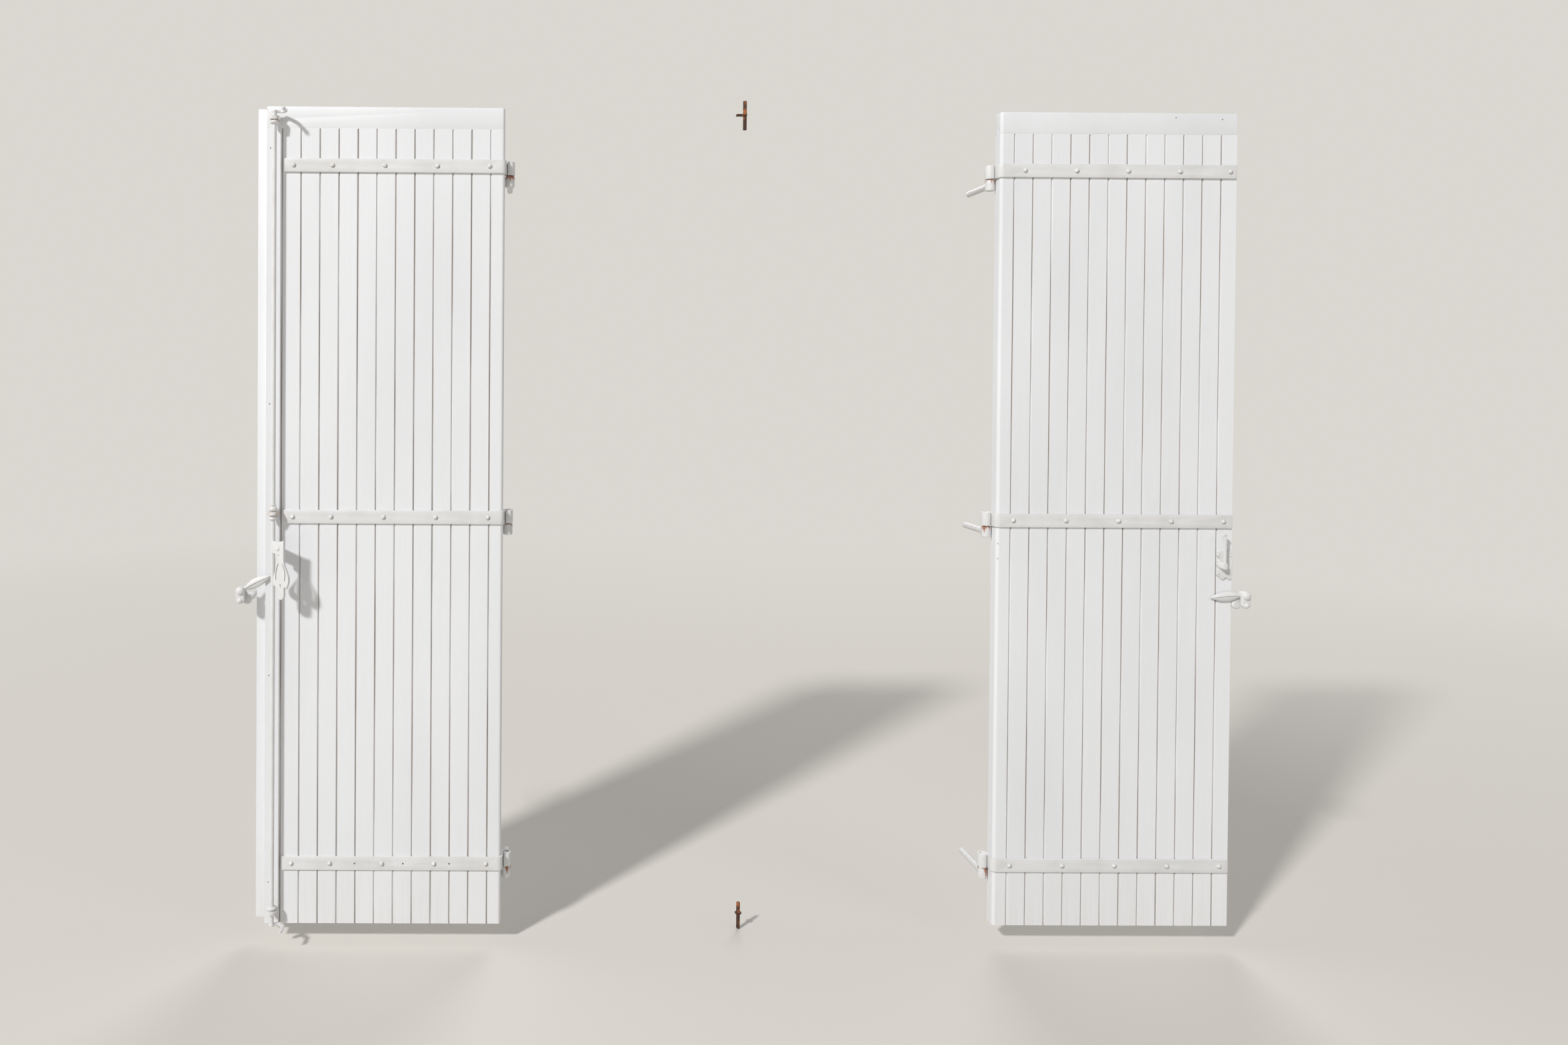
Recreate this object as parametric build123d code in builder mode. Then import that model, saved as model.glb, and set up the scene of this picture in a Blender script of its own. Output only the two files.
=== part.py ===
from build123d import *
from math import cos, radians, sin
import os

# A pair of ledged-and-clamped timber shutters for a door opening, laid back open
# against the wall, with their strap hinges, wall pintles, turning bolt rod, keeper,
# bolt keeps and shutter dogs.
# Frame: X to the right, Y into the wall (0 is the wall's outer face), Z up
# (0 is the bottom edge of the leaves), X 0 is the centre of the opening.

os.makedirs("parts", exist_ok=True)

# Leaves
LEAF_W = 628
LEAF_H = 2165
LEAF_T = 32
MIDDLE_GAP = 3
WALL_GAP = 20
CORNER_R = 8
EASED_EDGE = 1.5

# Boards and the clamp rail
FIRST_GROOVE = 37
GROOVE_PITCH = 50
GROOVE_W = 5.5
GROOVE_DEEP = 3
GROOVE_STOP = 4
RAIL_H = 56
TONGUE_T = 10
TONGUE_LONG = 7
RAIL_TONGUE = 12
TONGUE_FIT = 0.2
TONGUE_TIP_GAP = 0.5

# Strap hinges
STRAP_T = 5
STRAP_H = 36
PIN_R = 8
PIN_FIT = 0.3
EYE_WRAP = 300
STRAP_LOW = 162
STRAP_TOP = 155
LEFT_STRAP_U = 584
RIGHT_STRAP_U = 626
LEFT_RIVETS = (40, 178, 316, 454, 556)
RIGHT_TOP_RIVETS = (63, 200, 337, 474, 608)
RIGHT_LOW_RIVETS = (42, 182, 322, 462, 602)

# Rivets through straps and boards
NECK = 8
OUTER_HEAD_R = 11
OUTER_HEAD_TOP_R = 5.5
OUTER_HEAD_T = 4
INNER_HEAD_R = 5.4
INNER_HEAD_TOP_R = 3
INNER_HEAD_T = 5

# Wall pintles
PINTLE_R = 12.5
PINTLE_H = 28
PIN_SHORT = 3
SHANK_R = 9.5
TAIL_R = 8
TAIL_IN_WALL = 110
WASHER_T = 2.5
UPPER_HINGE_GAP = 3

# Cover batten on the left leaf's outer face
BATTEN_W = 60
BATTEN_T = 14
LIP_W = 30
LIP_EASE = 1
NAIL_W = 3
NAIL_SUNK = 2
NAIL_INSET = 10
NAIL_HEIGHTS = (109, 660, 1380, 2055)

# Bolt rod
ROD_R = 5.75
ROD_INSET = 25
ROD_STANDOFF = 21
ROD_FIT = 0.3
HOOK_T = 5.5
HOOK_W = 8
HOOK_HUB_R = 6.8
HOOK_TIP_R = 4.6
HOOK_PATH = ((0, 0), (18, 7), (31, -6), (31, -33))
HOOK_BEND_R = 6
HOOK_TIP = (30, -34)
HOOK_DOWN = 19
HOOK_UP = 6
KEEP_REACH = 22

# Turned knobs on the rod: the guide that each stands by, its start and end from the
# guide's ring (above it, or below it where negative), its widest and its neck radius
KNOBS = (
    ("middle", 0, 12, 11, 7),
    ("middle", 15, 19, 7.7, 6.6),
    ("middle", -12.5, 0, 11.5, 7),
    ("top", -11, 0, 12.4, 7),
    ("bottom", 0, 10, 12.5, 8),
)
KNOB_SHOULDERS = (0.3, 0.62)

# Guides of the rod
GUIDE_T = 9
GUIDE_R = 12.8
MIDDLE_GUIDE_R = 14.5
GUIDE_SHANK_R = 4
GUIDE_FLANGE_R = 9
GUIDE_FLANGE_T = 2
GUIDE_SHANK_DEEP = 22
GUIDE_UP = 40
GUIDE_OVER_STRAP = 10.5
GUIDE_DOWN = 36.5
RING_GAP = 1.2

# Handle
HANDLE_Z = 1005
HANDLE_TURN = 38
HANDLE_T = 6
HANDLE_GAP = 0.3
LUG_START = 0.7
LUG_T = 5
LUG_H = 32
LUG_END = 43
HANDLE_PIN_R = 3.5
HANDLE_PIN_OUT = 33.4
HANDLE_HEAD_R = 6.2
HANDLE_HEAD_T = 3
HANDLE_HEAD_TAPER = 35
HANDLE_TAIL_T = 2.2
SLOT_W = 3.2
KEYHOLE_R = 2.8
KEYHOLE_W = 2.2
KEYHOLE_H = 8

# Keeper on the right leaf
KEEPER_T = 4
KEEPER_LOW = 934
KEEPER_H = 70
KEEPER_W = 34
LOBE_R = 8
LOBE_HEIGHTS = (10, 35, 60)
LOBE_LOW = 3
FINGER_INSET = 31
FINGER_W = 5
FINGER_T = 5
FINGER_STANDOFF = 17
FINGER_LOW = 958
FINGER_TOP = 1047
ARM_W = 12
ARM_H = 17
ARM_CORNER_R = 4
KNOB_R = 5.5
KNOB_HOLE_R = 1.8
SCREW_HEAD_R = 3.4
SCREW_HEAD_T = 1.5
SCREW_HEAD_TAPER = 40
SCREW_R = 1.8
SCREW_LONG = 10
SCREWS_IN_UP = ((38, 60), (7, 57), (37, 10), (8, 9))

# Shutter dogs
DOG_Z = 887
DOG_OUT = {"left": 62, "right": 29}
BLADE_TILT = {"left": 26.5, "right": -5}
BLADE_LONG = 88
BLADE_W = 25
BLADE_T = 7.5
BLADE_EDGE_T = 4
BLADE_EYE_R = 9
BLADE_GAP = 3
BLADE_ROOT = 11
BLADE_ROOT_W = 8
BLADE_WIDEST = 0.5
RIDGE_W = 7
RIDGE_START = 3
RIDGE_SHORT = 9
DOG_PIN_R = 4
DOG_FIT = 0.3
BARREL_IN = 14
BARREL_DOWN = 25
BARREL_RING_R = 13
BARREL_NECK_R = 8.5
BARREL_FLARE_R = 10.5
RING_EASE = 3
RING_T = 8
NECK_BEADS = ((1, 11), (2, 15), (0, 19))
EAR_T = 6
HEAD_W = 23
HEAD_H = 45
HEAD_T = 9
HEAD_EASE = 2.5
BIG_DOME_R = 10
BIG_DOME_T = 5
SMALL_DOME_R = 5.8
SMALL_DOME_T = 3
DOME_TAPER = 38
DOG_TAIL = 90

# Keeps in the lintel and the sill
KEEP_R = 5
KEEP_LINTEL_DOWN = 33
KEEP_LINTEL_UP = 5
KEEP_SILL_UP = 17
KEEP_SILL_DOWN = 14
KEEP_TAIL = 40
KEEP_FOOT = 18
KEEP_FOOT_T = 4
KEEP_FLANGE = 4

# Places that follow from the sizes
EYE_IN = PIN_R + PIN_FIT
EYE_OUT = EYE_IN + STRAP_T
PIVOT_X = MIDDLE_GAP / 2 + LEAF_W + EYE_OUT
HINGE_EDGE_X = PIVOT_X + EYE_OUT
FREE_EDGE_X = HINGE_EDGE_X + LEAF_W
BACK_Y = -WALL_GAP
FRONT_Y = BACK_Y - LEAF_T
MID_Y = (BACK_Y + FRONT_Y) / 2
STRAP_Y = FRONT_Y - STRAP_T
BOARD_TOP = LEAF_H - RAIL_H
STRAPS = {
    "bottom": STRAP_LOW,
    "middle": LEAF_H / 2,
    "top": LEAF_H - STRAP_TOP,
}
GUIDE_HEIGHTS = {
    "bottom": GUIDE_UP,
    "middle": STRAPS["middle"] + GUIDE_OVER_STRAP,
    "top": LEAF_H - GUIDE_DOWN,
}
ROD_X = -(FREE_EDGE_X - ROD_INSET)
ROD_Y = FRONT_Y - ROD_STANDOFF
HOOK_LOW_Z = HOOK_UP
HOOK_TOP_Z = LEAF_H - HOOK_DOWN
KEEP_X = -2 * PIVOT_X - ROD_X + KEEP_REACH
KEEP_Y = 2 * BACK_Y - ROD_Y
GROOVES = [
    FIRST_GROOVE + GROOVE_PITCH * k
    for k in range(int((LEAF_W - FIRST_GROOVE) / GROOVE_PITCH) + 1)
]
BOARD_EDGES = [0] + GROOVES[1::2] + [LEAF_W]
BOARDS = len(BOARD_EDGES) - 1
SIDES = {"left": -1, "right": 1}
FRONT = Plane.XZ.offset(-FRONT_Y)
HANDLE_PLANE = Plane(
    origin=(ROD_X, ROD_Y, HANDLE_Z),
    x_dir=(cos(radians(HANDLE_TURN)), -sin(radians(HANDLE_TURN)), 0),
    z_dir=(-sin(radians(HANDLE_TURN)), -cos(radians(HANDLE_TURN)), 0),
)
HANDLE_START = LUG_START + LUG_T + HANDLE_GAP
BLADE_BACK_Y = FRONT_Y - BLADE_GAP
FINGER_X = FREE_EDGE_X - FINGER_INSET
SCREW_PLACES = [(FREE_EDGE_X - inset, KEEPER_LOW + up) for inset, up in SCREWS_IN_UP]


def across(side, u):
    """X of a point u from the hinge edge toward the free edge."""
    return SIDES[side] * (HINGE_EDGE_X + u)


def rivets_of(side, name):
    """Distances of a strap's rivets from the hinge edge."""
    if side == "left":
        return LEFT_RIVETS
    return RIGHT_TOP_RIVETS if name == "top" else RIGHT_LOW_RIVETS


def write(builder, name):
    """Label a finished piece and write it under its name."""
    builder.part.label = name
    export_step(builder.part, f"parts/{name}.step")


def guide_mouth(name):
    """Centre of a guide's hole in the timber, as X and Z."""
    return (ROD_X, GUIDE_HEIGHTS[name])


def nail_places():
    """Places of the batten's nails, as X and Z."""
    return [(-(FREE_EDGE_X - NAIL_INSET), height) for height in NAIL_HEIGHTS]


# Timber

def board(side, number):
    """One tongued and grooved board, with its V grooves on the inner face."""
    start = BOARD_EDGES[number - 1]
    end = BOARD_EDGES[number]
    middle = across(side, (start + end) / 2)
    holes = [
        (across(side, u), STRAPS[name])
        for name in STRAPS
        for u in rivets_of(side, name)
        if start < u < end
    ]
    with BuildPart() as plank:
        with BuildSketch(Plane.XY) as section:
            with Locations((middle, MID_Y)):
                Rectangle(end - start, LEAF_T)
            if number < BOARDS:
                with Locations((across(side, end + TONGUE_LONG / 2), MID_Y)):
                    Rectangle(TONGUE_LONG, TONGUE_T)
            if number > 1:
                deep = TONGUE_LONG + TONGUE_TIP_GAP
                with Locations((across(side, start + deep / 2), MID_Y)):
                    Rectangle(deep, TONGUE_T + 2 * TONGUE_FIT, mode=Mode.SUBTRACT)
            if number == 1:
                front = section.vertices().group_by(Axis.Y)[0].sort_by(Axis.X)
                fillet(front[-1 if side == "left" else 0], CORNER_R)
        extrude(amount=BOARD_TOP)
        with BuildSketch(Plane.XY.offset(BOARD_TOP)):
            with Locations((middle, MID_Y)):
                Rectangle(end - start, TONGUE_T)
        extrude(amount=RAIL_TONGUE)
        groove_top = BOARD_TOP - GROOVE_STOP
        for u in [g for g in GROOVES if start <= g <= end]:
            x = across(side, u)
            with BuildSketch(Plane.XY):
                with BuildLine():
                    Polyline(
                        (x - GROOVE_W / 2, FRONT_Y),
                        (x, FRONT_Y + GROOVE_DEEP),
                        (x + GROOVE_W / 2, FRONT_Y),
                        close=True,
                    )
                make_face()
            extrude(amount=groove_top, mode=Mode.SUBTRACT)
            with Locations(Plane(origin=(x, FRONT_Y, groove_top), z_dir=(0, 1, 0))):
                Cone(
                    GROOVE_W / 2,
                    0,
                    GROOVE_DEEP,
                    align=(Align.CENTER, Align.CENTER, Align.MIN),
                    mode=Mode.SUBTRACT,
                )
        if holes:
            with BuildSketch(FRONT):
                with Locations(*holes):
                    Rectangle(NECK, NECK)
            extrude(amount=-LEAF_T, mode=Mode.SUBTRACT)
        if side == "left" and number == BOARDS:
            with BuildSketch(FRONT):
                with Locations(*nail_places()):
                    Rectangle(NAIL_W, NAIL_W)
            extrude(amount=-LEAF_T, mode=Mode.SUBTRACT)
            with BuildSketch(FRONT):
                with Locations(guide_mouth("bottom"), guide_mouth("middle")):
                    Circle(GUIDE_SHANK_R)
            extrude(amount=-GUIDE_SHANK_DEEP, mode=Mode.SUBTRACT)
        if side == "right" and number == BOARDS:
            with BuildSketch(FRONT):
                with Locations(*SCREW_PLACES):
                    Circle(SCREW_R)
            extrude(amount=-SCREW_LONG, mode=Mode.SUBTRACT)
    write(plank, f"{side}_board_{number}")


def top_rail(side):
    """Clamp rail across the boards' upper ends."""
    with BuildPart() as rail:
        with BuildSketch(Plane.XY.offset(BOARD_TOP)) as section:
            with Locations((across(side, LEAF_W / 2), MID_Y)):
                Rectangle(LEAF_W, LEAF_T)
            front = section.vertices().group_by(Axis.Y)[0].sort_by(Axis.X)
            fillet(front[-1 if side == "left" else 0], CORNER_R)
        extrude(amount=RAIL_H)
        chamfer(rail.edges().group_by(Axis.Z)[-1], EASED_EDGE)
        with BuildSketch(Plane.XY.offset(BOARD_TOP)):
            with Locations((across(side, LEAF_W / 2), MID_Y)):
                Rectangle(LEAF_W, TONGUE_T + 2 * TONGUE_FIT)
        extrude(amount=RAIL_TONGUE + TONGUE_TIP_GAP, mode=Mode.SUBTRACT)
        if side == "left":
            with BuildSketch(FRONT):
                with Locations(guide_mouth("top")):
                    Circle(GUIDE_SHANK_R)
            extrude(amount=-GUIDE_SHANK_DEEP, mode=Mode.SUBTRACT)
    write(rail, f"{side}_top_rail")


def cover_batten():
    """Batten on the left leaf's outer face, whose lip covers the middle gap."""
    inner = -(FREE_EDGE_X - (BATTEN_W - LIP_W))
    with BuildPart() as batten:
        with BuildSketch(Plane.XY):
            with BuildLine():
                Polyline(
                    (inner, BACK_Y),
                    (-FREE_EDGE_X, BACK_Y),
                    (-FREE_EDGE_X, BACK_Y + LIP_EASE),
                    (-FREE_EDGE_X - LIP_W, BACK_Y + LIP_EASE),
                    (-FREE_EDGE_X - LIP_W, BACK_Y + BATTEN_T),
                    (inner, BACK_Y + BATTEN_T),
                    close=True,
                )
            make_face()
        extrude(amount=LEAF_H)
        outer = batten.faces().sort_by(Axis.Y)[-1]
        chamfer(outer.edges().filter_by(Axis.Z), EASED_EDGE)
        with BuildSketch(Plane.XZ.offset(-BACK_Y)):
            with Locations(*nail_places()):
                Rectangle(NAIL_W, NAIL_W)
        extrude(amount=-(BATTEN_T - NAIL_SUNK), mode=Mode.SUBTRACT)
    write(batten, "left_cover_batten")


def batten_nails():
    """Cut nails that hold the cover batten, driven from the inner face."""
    with BuildPart() as nails:
        with BuildSketch(FRONT.offset(-NAIL_SUNK)):
            with Locations(*nail_places()):
                Rectangle(NAIL_W, NAIL_W)
        extrude(amount=-(LEAF_T + BATTEN_T - 2 * NAIL_SUNK))
    write(nails, "left_batten_nails")


# Strap hinges

def strap(side, name):
    """Flat bar on the inner face, cranked round the edge and rolled into an eye."""
    out = SIDES[side]
    end = LEFT_STRAP_U if side == "left" else RIGHT_STRAP_U
    middle_y = FRONT_Y - STRAP_T / 2
    eye_x = out * (HINGE_EDGE_X - STRAP_T / 2)
    with BuildPart() as bar:
        with BuildSketch(Plane.XY.offset(STRAPS[name] - STRAP_H / 2)):
            with BuildLine():
                flat = Line((across(side, end), middle_y), (across(side, CORNER_R), middle_y))
                bend = JernArc(flat @ 1, (-out, 0), CORNER_R + STRAP_T / 2, -90 * out)
                back = Line(bend @ 1, (eye_x, BACK_Y))
                JernArc(back @ 1, (0, 1), EYE_IN + STRAP_T / 2, out * EYE_WRAP)
            trace(line_width=STRAP_T)
        extrude(amount=STRAP_H)
        tip = bar.faces().sort_by(Axis.X)[-1 if side == "right" else 0]
        chamfer(tip.edges().filter_by(Axis.Y), EASED_EDGE)
        with BuildSketch(Plane.XZ.offset(-STRAP_Y)):
            with Locations(*[(across(side, u), STRAPS[name]) for u in rivets_of(side, name)]):
                Rectangle(NECK, NECK)
        extrude(amount=-STRAP_T, mode=Mode.SUBTRACT)
    write(bar, f"{side}_{name}_strap")


def rivets(side):
    """Square-necked rivets of one leaf, with a low head outside and a peened end inside.

    Where the cover batten's lip closes over the leaf, the outer end is flush.
    """
    lip_starts = FREE_EDGE_X - LIP_W - OUTER_HEAD_R
    places = [(across(side, u), STRAPS[name]) for name in STRAPS for u in rivets_of(side, name)]
    with BuildPart() as heads:
        with BuildSketch(Plane.XZ.offset(-STRAP_Y)):
            with Locations(*places):
                Rectangle(NECK, NECK)
        extrude(amount=-(LEAF_T + STRAP_T))
        for x, z in places:
            with Locations(Plane(origin=(x, STRAP_Y, z), z_dir=(0, -1, 0))):
                Cone(
                    INNER_HEAD_R,
                    INNER_HEAD_TOP_R,
                    INNER_HEAD_T,
                    align=(Align.CENTER, Align.CENTER, Align.MIN),
                )
            if side == "right" and x > lip_starts:
                continue
            with Locations(Plane(origin=(x, BACK_Y, z), z_dir=(0, 1, 0))):
                Cone(
                    OUTER_HEAD_R,
                    OUTER_HEAD_TOP_R,
                    OUTER_HEAD_T,
                    align=(Align.CENTER, Align.CENTER, Align.MIN),
                )
    write(heads, f"{side}_rivets")


def pintle(side, name):
    """Wall hook of a hinge: pin, collar, shank and the tail that goes into the wall."""
    gap = WASHER_T if name == "bottom" else UPPER_HINGE_GAP
    collar_top = STRAPS[name] - STRAP_H / 2 - gap
    pin_top = STRAPS[name] + STRAP_H / 2 - PIN_SHORT
    x = SIDES[side] * PIVOT_X
    with BuildPart() as hook:
        with BuildSketch(Plane.XY.offset(collar_top - PINTLE_H)):
            with Locations((x, BACK_Y)):
                Circle(PINTLE_R)
        extrude(amount=PINTLE_H)
        chamfer(hook.edges().group_by(Axis.Z)[0], EASED_EDGE)
        with BuildSketch(Plane.XY.offset(collar_top)):
            with Locations((x, BACK_Y)):
                Circle(PIN_R)
        extrude(amount=pin_top - collar_top)
        chamfer(hook.edges().group_by(Axis.Z)[-1], EASED_EDGE)
        with BuildSketch(Plane.XZ.offset(-BACK_Y)):
            with Locations((x, collar_top - PINTLE_H / 2)):
                Circle(SHANK_R)
        extrude(amount=-WALL_GAP)
        with BuildSketch(Plane.XZ):
            with Locations((x, collar_top - PINTLE_H / 2)):
                Circle(TAIL_R)
        extrude(amount=-TAIL_IN_WALL)
    write(hook, f"{side}_{name}_pintle")


def washer(side):
    """Thin ring between the lowest eye and its pintle."""
    with BuildPart() as ring:
        with BuildSketch(Plane.XY.offset(STRAPS["bottom"] - STRAP_H / 2 - WASHER_T)):
            with Locations((SIDES[side] * PIVOT_X, BACK_Y)):
                Circle(PINTLE_R)
                Circle(EYE_IN, mode=Mode.SUBTRACT)
        extrude(amount=WASHER_T)
    write(ring, f"{side}_washer")


# Bolt rod with its knobs, hooks and guides

def knob_profile(low, high, widest, neck):
    """Half outline of a turned knob on the rod, as radius and height."""
    tall = high - low
    return [
        (0, low),
        (neck, low),
        (widest, low + KNOB_SHOULDERS[0] * tall),
        (widest, low + KNOB_SHOULDERS[1] * tall),
        (neck, high),
        (0, high),
    ]


def rod():
    """Round bolt rod with turned knobs and the lug that carries the handle."""
    half = GUIDE_T / 2 + RING_GAP
    turned = Plane(origin=(ROD_X, ROD_Y, 0), x_dir=(1, 0, 0), z_dir=(0, -1, 0))
    with BuildPart() as bolt:
        with BuildSketch(Plane.XY.offset(HOOK_LOW_Z + HOOK_T / 2)):
            with Locations((ROD_X, ROD_Y)):
                Circle(ROD_R)
        extrude(amount=HOOK_TOP_Z - HOOK_LOW_Z - HOOK_T)
        for guide, start, end, widest, neck in KNOBS:
            face = GUIDE_HEIGHTS[guide] + (half if end > 0 else -half)
            with BuildSketch(turned):
                with BuildLine():
                    Polyline(*knob_profile(face + start, face + end, widest, neck), close=True)
                make_face()
            revolve(axis=Axis((ROD_X, ROD_Y, 0), (0, 0, 1)))
        with BuildSketch(HANDLE_PLANE.offset(LUG_START)):
            with Locations((LUG_END / 2, 0)):
                Rectangle(LUG_END, LUG_H)
            with Locations((HANDLE_PIN_OUT, 0)):
                Circle(HANDLE_PIN_R, mode=Mode.SUBTRACT)
        extrude(amount=LUG_T)
    write(bolt, "bolt_rod")


def bolt_hook(height, name):
    """Flat hook on the rod's end, whose throat takes the keep's pin."""
    with BuildPart() as hook:
        with BuildSketch(Plane.XY.offset(height - HOOK_T / 2)):
            with BuildLine():
                FilletPolyline(
                    *[(ROD_X + x, ROD_Y + y) for x, y in HOOK_PATH],
                    radius=HOOK_BEND_R,
                )
            trace(line_width=HOOK_W)
            with Locations((ROD_X, ROD_Y)):
                Circle(HOOK_HUB_R)
            with Locations((ROD_X + HOOK_TIP[0], ROD_Y + HOOK_TIP[1])):
                Circle(HOOK_TIP_R)
        extrude(amount=HOOK_T)
    write(hook, name)


def rod_guide(name):
    """Round eye that carries the rod, on a shank fixed in the timber."""
    radius = MIDDLE_GUIDE_R if name == "middle" else GUIDE_R
    height = GUIDE_HEIGHTS[name]
    with BuildPart() as guide:
        with BuildSketch(Plane.XY.offset(height - GUIDE_T / 2)):
            with Locations((ROD_X, ROD_Y)):
                Circle(radius)
        extrude(amount=GUIDE_T)
        with BuildSketch(FRONT):
            with Locations((ROD_X, height)):
                Circle(GUIDE_SHANK_R)
        extrude(amount=ROD_STANDOFF - radius + RING_GAP)
        with BuildSketch(FRONT):
            with Locations((ROD_X, height)):
                Circle(GUIDE_SHANK_R)
        extrude(amount=-GUIDE_SHANK_DEEP)
        with BuildSketch(FRONT):
            with Locations((ROD_X, height)):
                Circle(GUIDE_FLANGE_R)
        extrude(amount=GUIDE_FLANGE_T)
        with BuildSketch(Plane.XY.offset(height - GUIDE_T / 2)):
            with Locations((ROD_X, ROD_Y)):
                Circle(ROD_R + ROD_FIT)
        extrude(amount=GUIDE_T, mode=Mode.SUBTRACT)
    write(guide, f"{name}_rod_guide")


# Handle

def handle():
    """Flat cast lever with a lyre-shaped openwork body and a round-ended tongue."""
    with BuildPart() as lever:
        with BuildSketch(HANDLE_PLANE.offset(HANDLE_START)):
            with BuildLine():
                top = Line((21.5, 14.5), (55.5, 22))
                outer = Line(top @ 1, (55.5, -23))
                belly = Spline(
                    outer @ 1, (59, -42), (70, -62), (75, -77), (72, -91), (66, -102)
                )
                tip = Polyline(belly @ 1, (60.5, -96), (57.5, -101), (57.5, -118))
                end = ThreePointArc(tip @ 1, (43.5, -132), (29.5, -118))
                shoulder = Polyline(end @ 1, (29.5, -101), (17, -98))
                inner = Spline(shoulder @ 1, (12.5, -86), (17, -72), (26, -52), (31, -36), (29, -23))
                Polyline(inner @ 1, (21.5, -21), top @ 0)
            make_face()
            with BuildLine():
                ThreePointArc((36.5, -39), (27, -62), (27, -83))
            trace(line_width=SLOT_W, mode=Mode.SUBTRACT)
            with BuildLine():
                ThreePointArc((52, -39), (61.5, -62), (59.5, -83))
            trace(line_width=SLOT_W, mode=Mode.SUBTRACT)
            with Locations((43.5, -94)):
                Circle(KEYHOLE_R, mode=Mode.SUBTRACT)
            with Locations((43.5, -94 - KEYHOLE_H / 2)):
                Rectangle(KEYHOLE_W, KEYHOLE_H, mode=Mode.SUBTRACT)
            with Locations((30.5, -17)):
                Rectangle(19, SLOT_W, mode=Mode.SUBTRACT)
            with Locations((HANDLE_PIN_OUT, 0)):
                Circle(HANDLE_PIN_R + HANDLE_GAP, mode=Mode.SUBTRACT)
        extrude(amount=HANDLE_T)
    write(lever, "handle")


def handle_rivet():
    """Rivet that joins the handle to the rod's lug."""
    with BuildPart() as pin:
        with BuildSketch(HANDLE_PLANE.offset(LUG_START)):
            with Locations((HANDLE_PIN_OUT, 0)):
                Circle(HANDLE_PIN_R)
        extrude(amount=LUG_T + HANDLE_T + 2 * HANDLE_GAP)
        with BuildSketch(HANDLE_PLANE.offset(HANDLE_START + HANDLE_T + HANDLE_GAP)):
            with Locations((HANDLE_PIN_OUT, 0)):
                Circle(HANDLE_HEAD_R)
        extrude(amount=HANDLE_HEAD_T, taper=HANDLE_HEAD_TAPER)
        with BuildSketch(HANDLE_PLANE.offset(LUG_START)):
            with Locations((HANDLE_PIN_OUT, 0)):
                Circle(HANDLE_HEAD_R)
        extrude(amount=-HANDLE_TAIL_T)
    write(pin, "handle_rivet")


# Keeper on the right leaf

def keeper():
    """Cast catch: scalloped plate, arm, and an upright finger the handle drops behind."""
    edge = FREE_EDGE_X
    with BuildPart() as catch:
        with BuildSketch(FRONT):
            with Locations((edge - KEEPER_W / 2, KEEPER_LOW + KEEPER_H / 2)):
                Rectangle(KEEPER_W, KEEPER_H)
            with Locations(*[(edge - KEEPER_W, KEEPER_LOW + up) for up in LOBE_HEIGHTS]):
                Circle(LOBE_R)
            with Locations(
                (edge - KEEPER_W + LOBE_R, KEEPER_LOW + LOBE_LOW),
                (edge - LOBE_R, KEEPER_LOW + LOBE_LOW),
            ):
                Circle(LOBE_R)
            with Locations(*SCREW_PLACES):
                Circle(SCREW_R, mode=Mode.SUBTRACT)
        extrude(amount=KEEPER_T)
        with BuildSketch(FRONT.offset(KEEPER_T)):
            with Locations((FINGER_X, FINGER_LOW + ARM_H / 2)):
                RectangleRounded(ARM_W, ARM_H, ARM_CORNER_R)
        extrude(amount=FINGER_STANDOFF + FINGER_T - KEEPER_T)
        with BuildSketch(FRONT.offset(FINGER_STANDOFF)):
            with Locations((FINGER_X, (FINGER_LOW + FINGER_TOP) / 2)):
                Rectangle(FINGER_W, FINGER_TOP - FINGER_LOW)
            with Locations((FINGER_X, FINGER_TOP)):
                Circle(KNOB_R)
                Circle(KNOB_HOLE_R, mode=Mode.SUBTRACT)
        extrude(amount=FINGER_T)
    write(catch, "keeper")


def keeper_screws():
    """Round-headed screws of the keeper."""
    with BuildPart() as screws:
        with BuildSketch(FRONT.offset(KEEPER_T)):
            with Locations(*SCREW_PLACES):
                Circle(SCREW_R)
        extrude(amount=-(KEEPER_T + SCREW_LONG))
        with BuildSketch(FRONT.offset(KEEPER_T)):
            with Locations(*SCREW_PLACES):
                Circle(SCREW_HEAD_R)
        extrude(amount=SCREW_HEAD_T, taper=SCREW_HEAD_TAPER)
    write(screws, "keeper_screws")


# Shutter dogs

def dog_pivot_x(side):
    """X of a dog's pivot."""
    return SIDES[side] * (FREE_EDGE_X + DOG_OUT[side])


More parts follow.
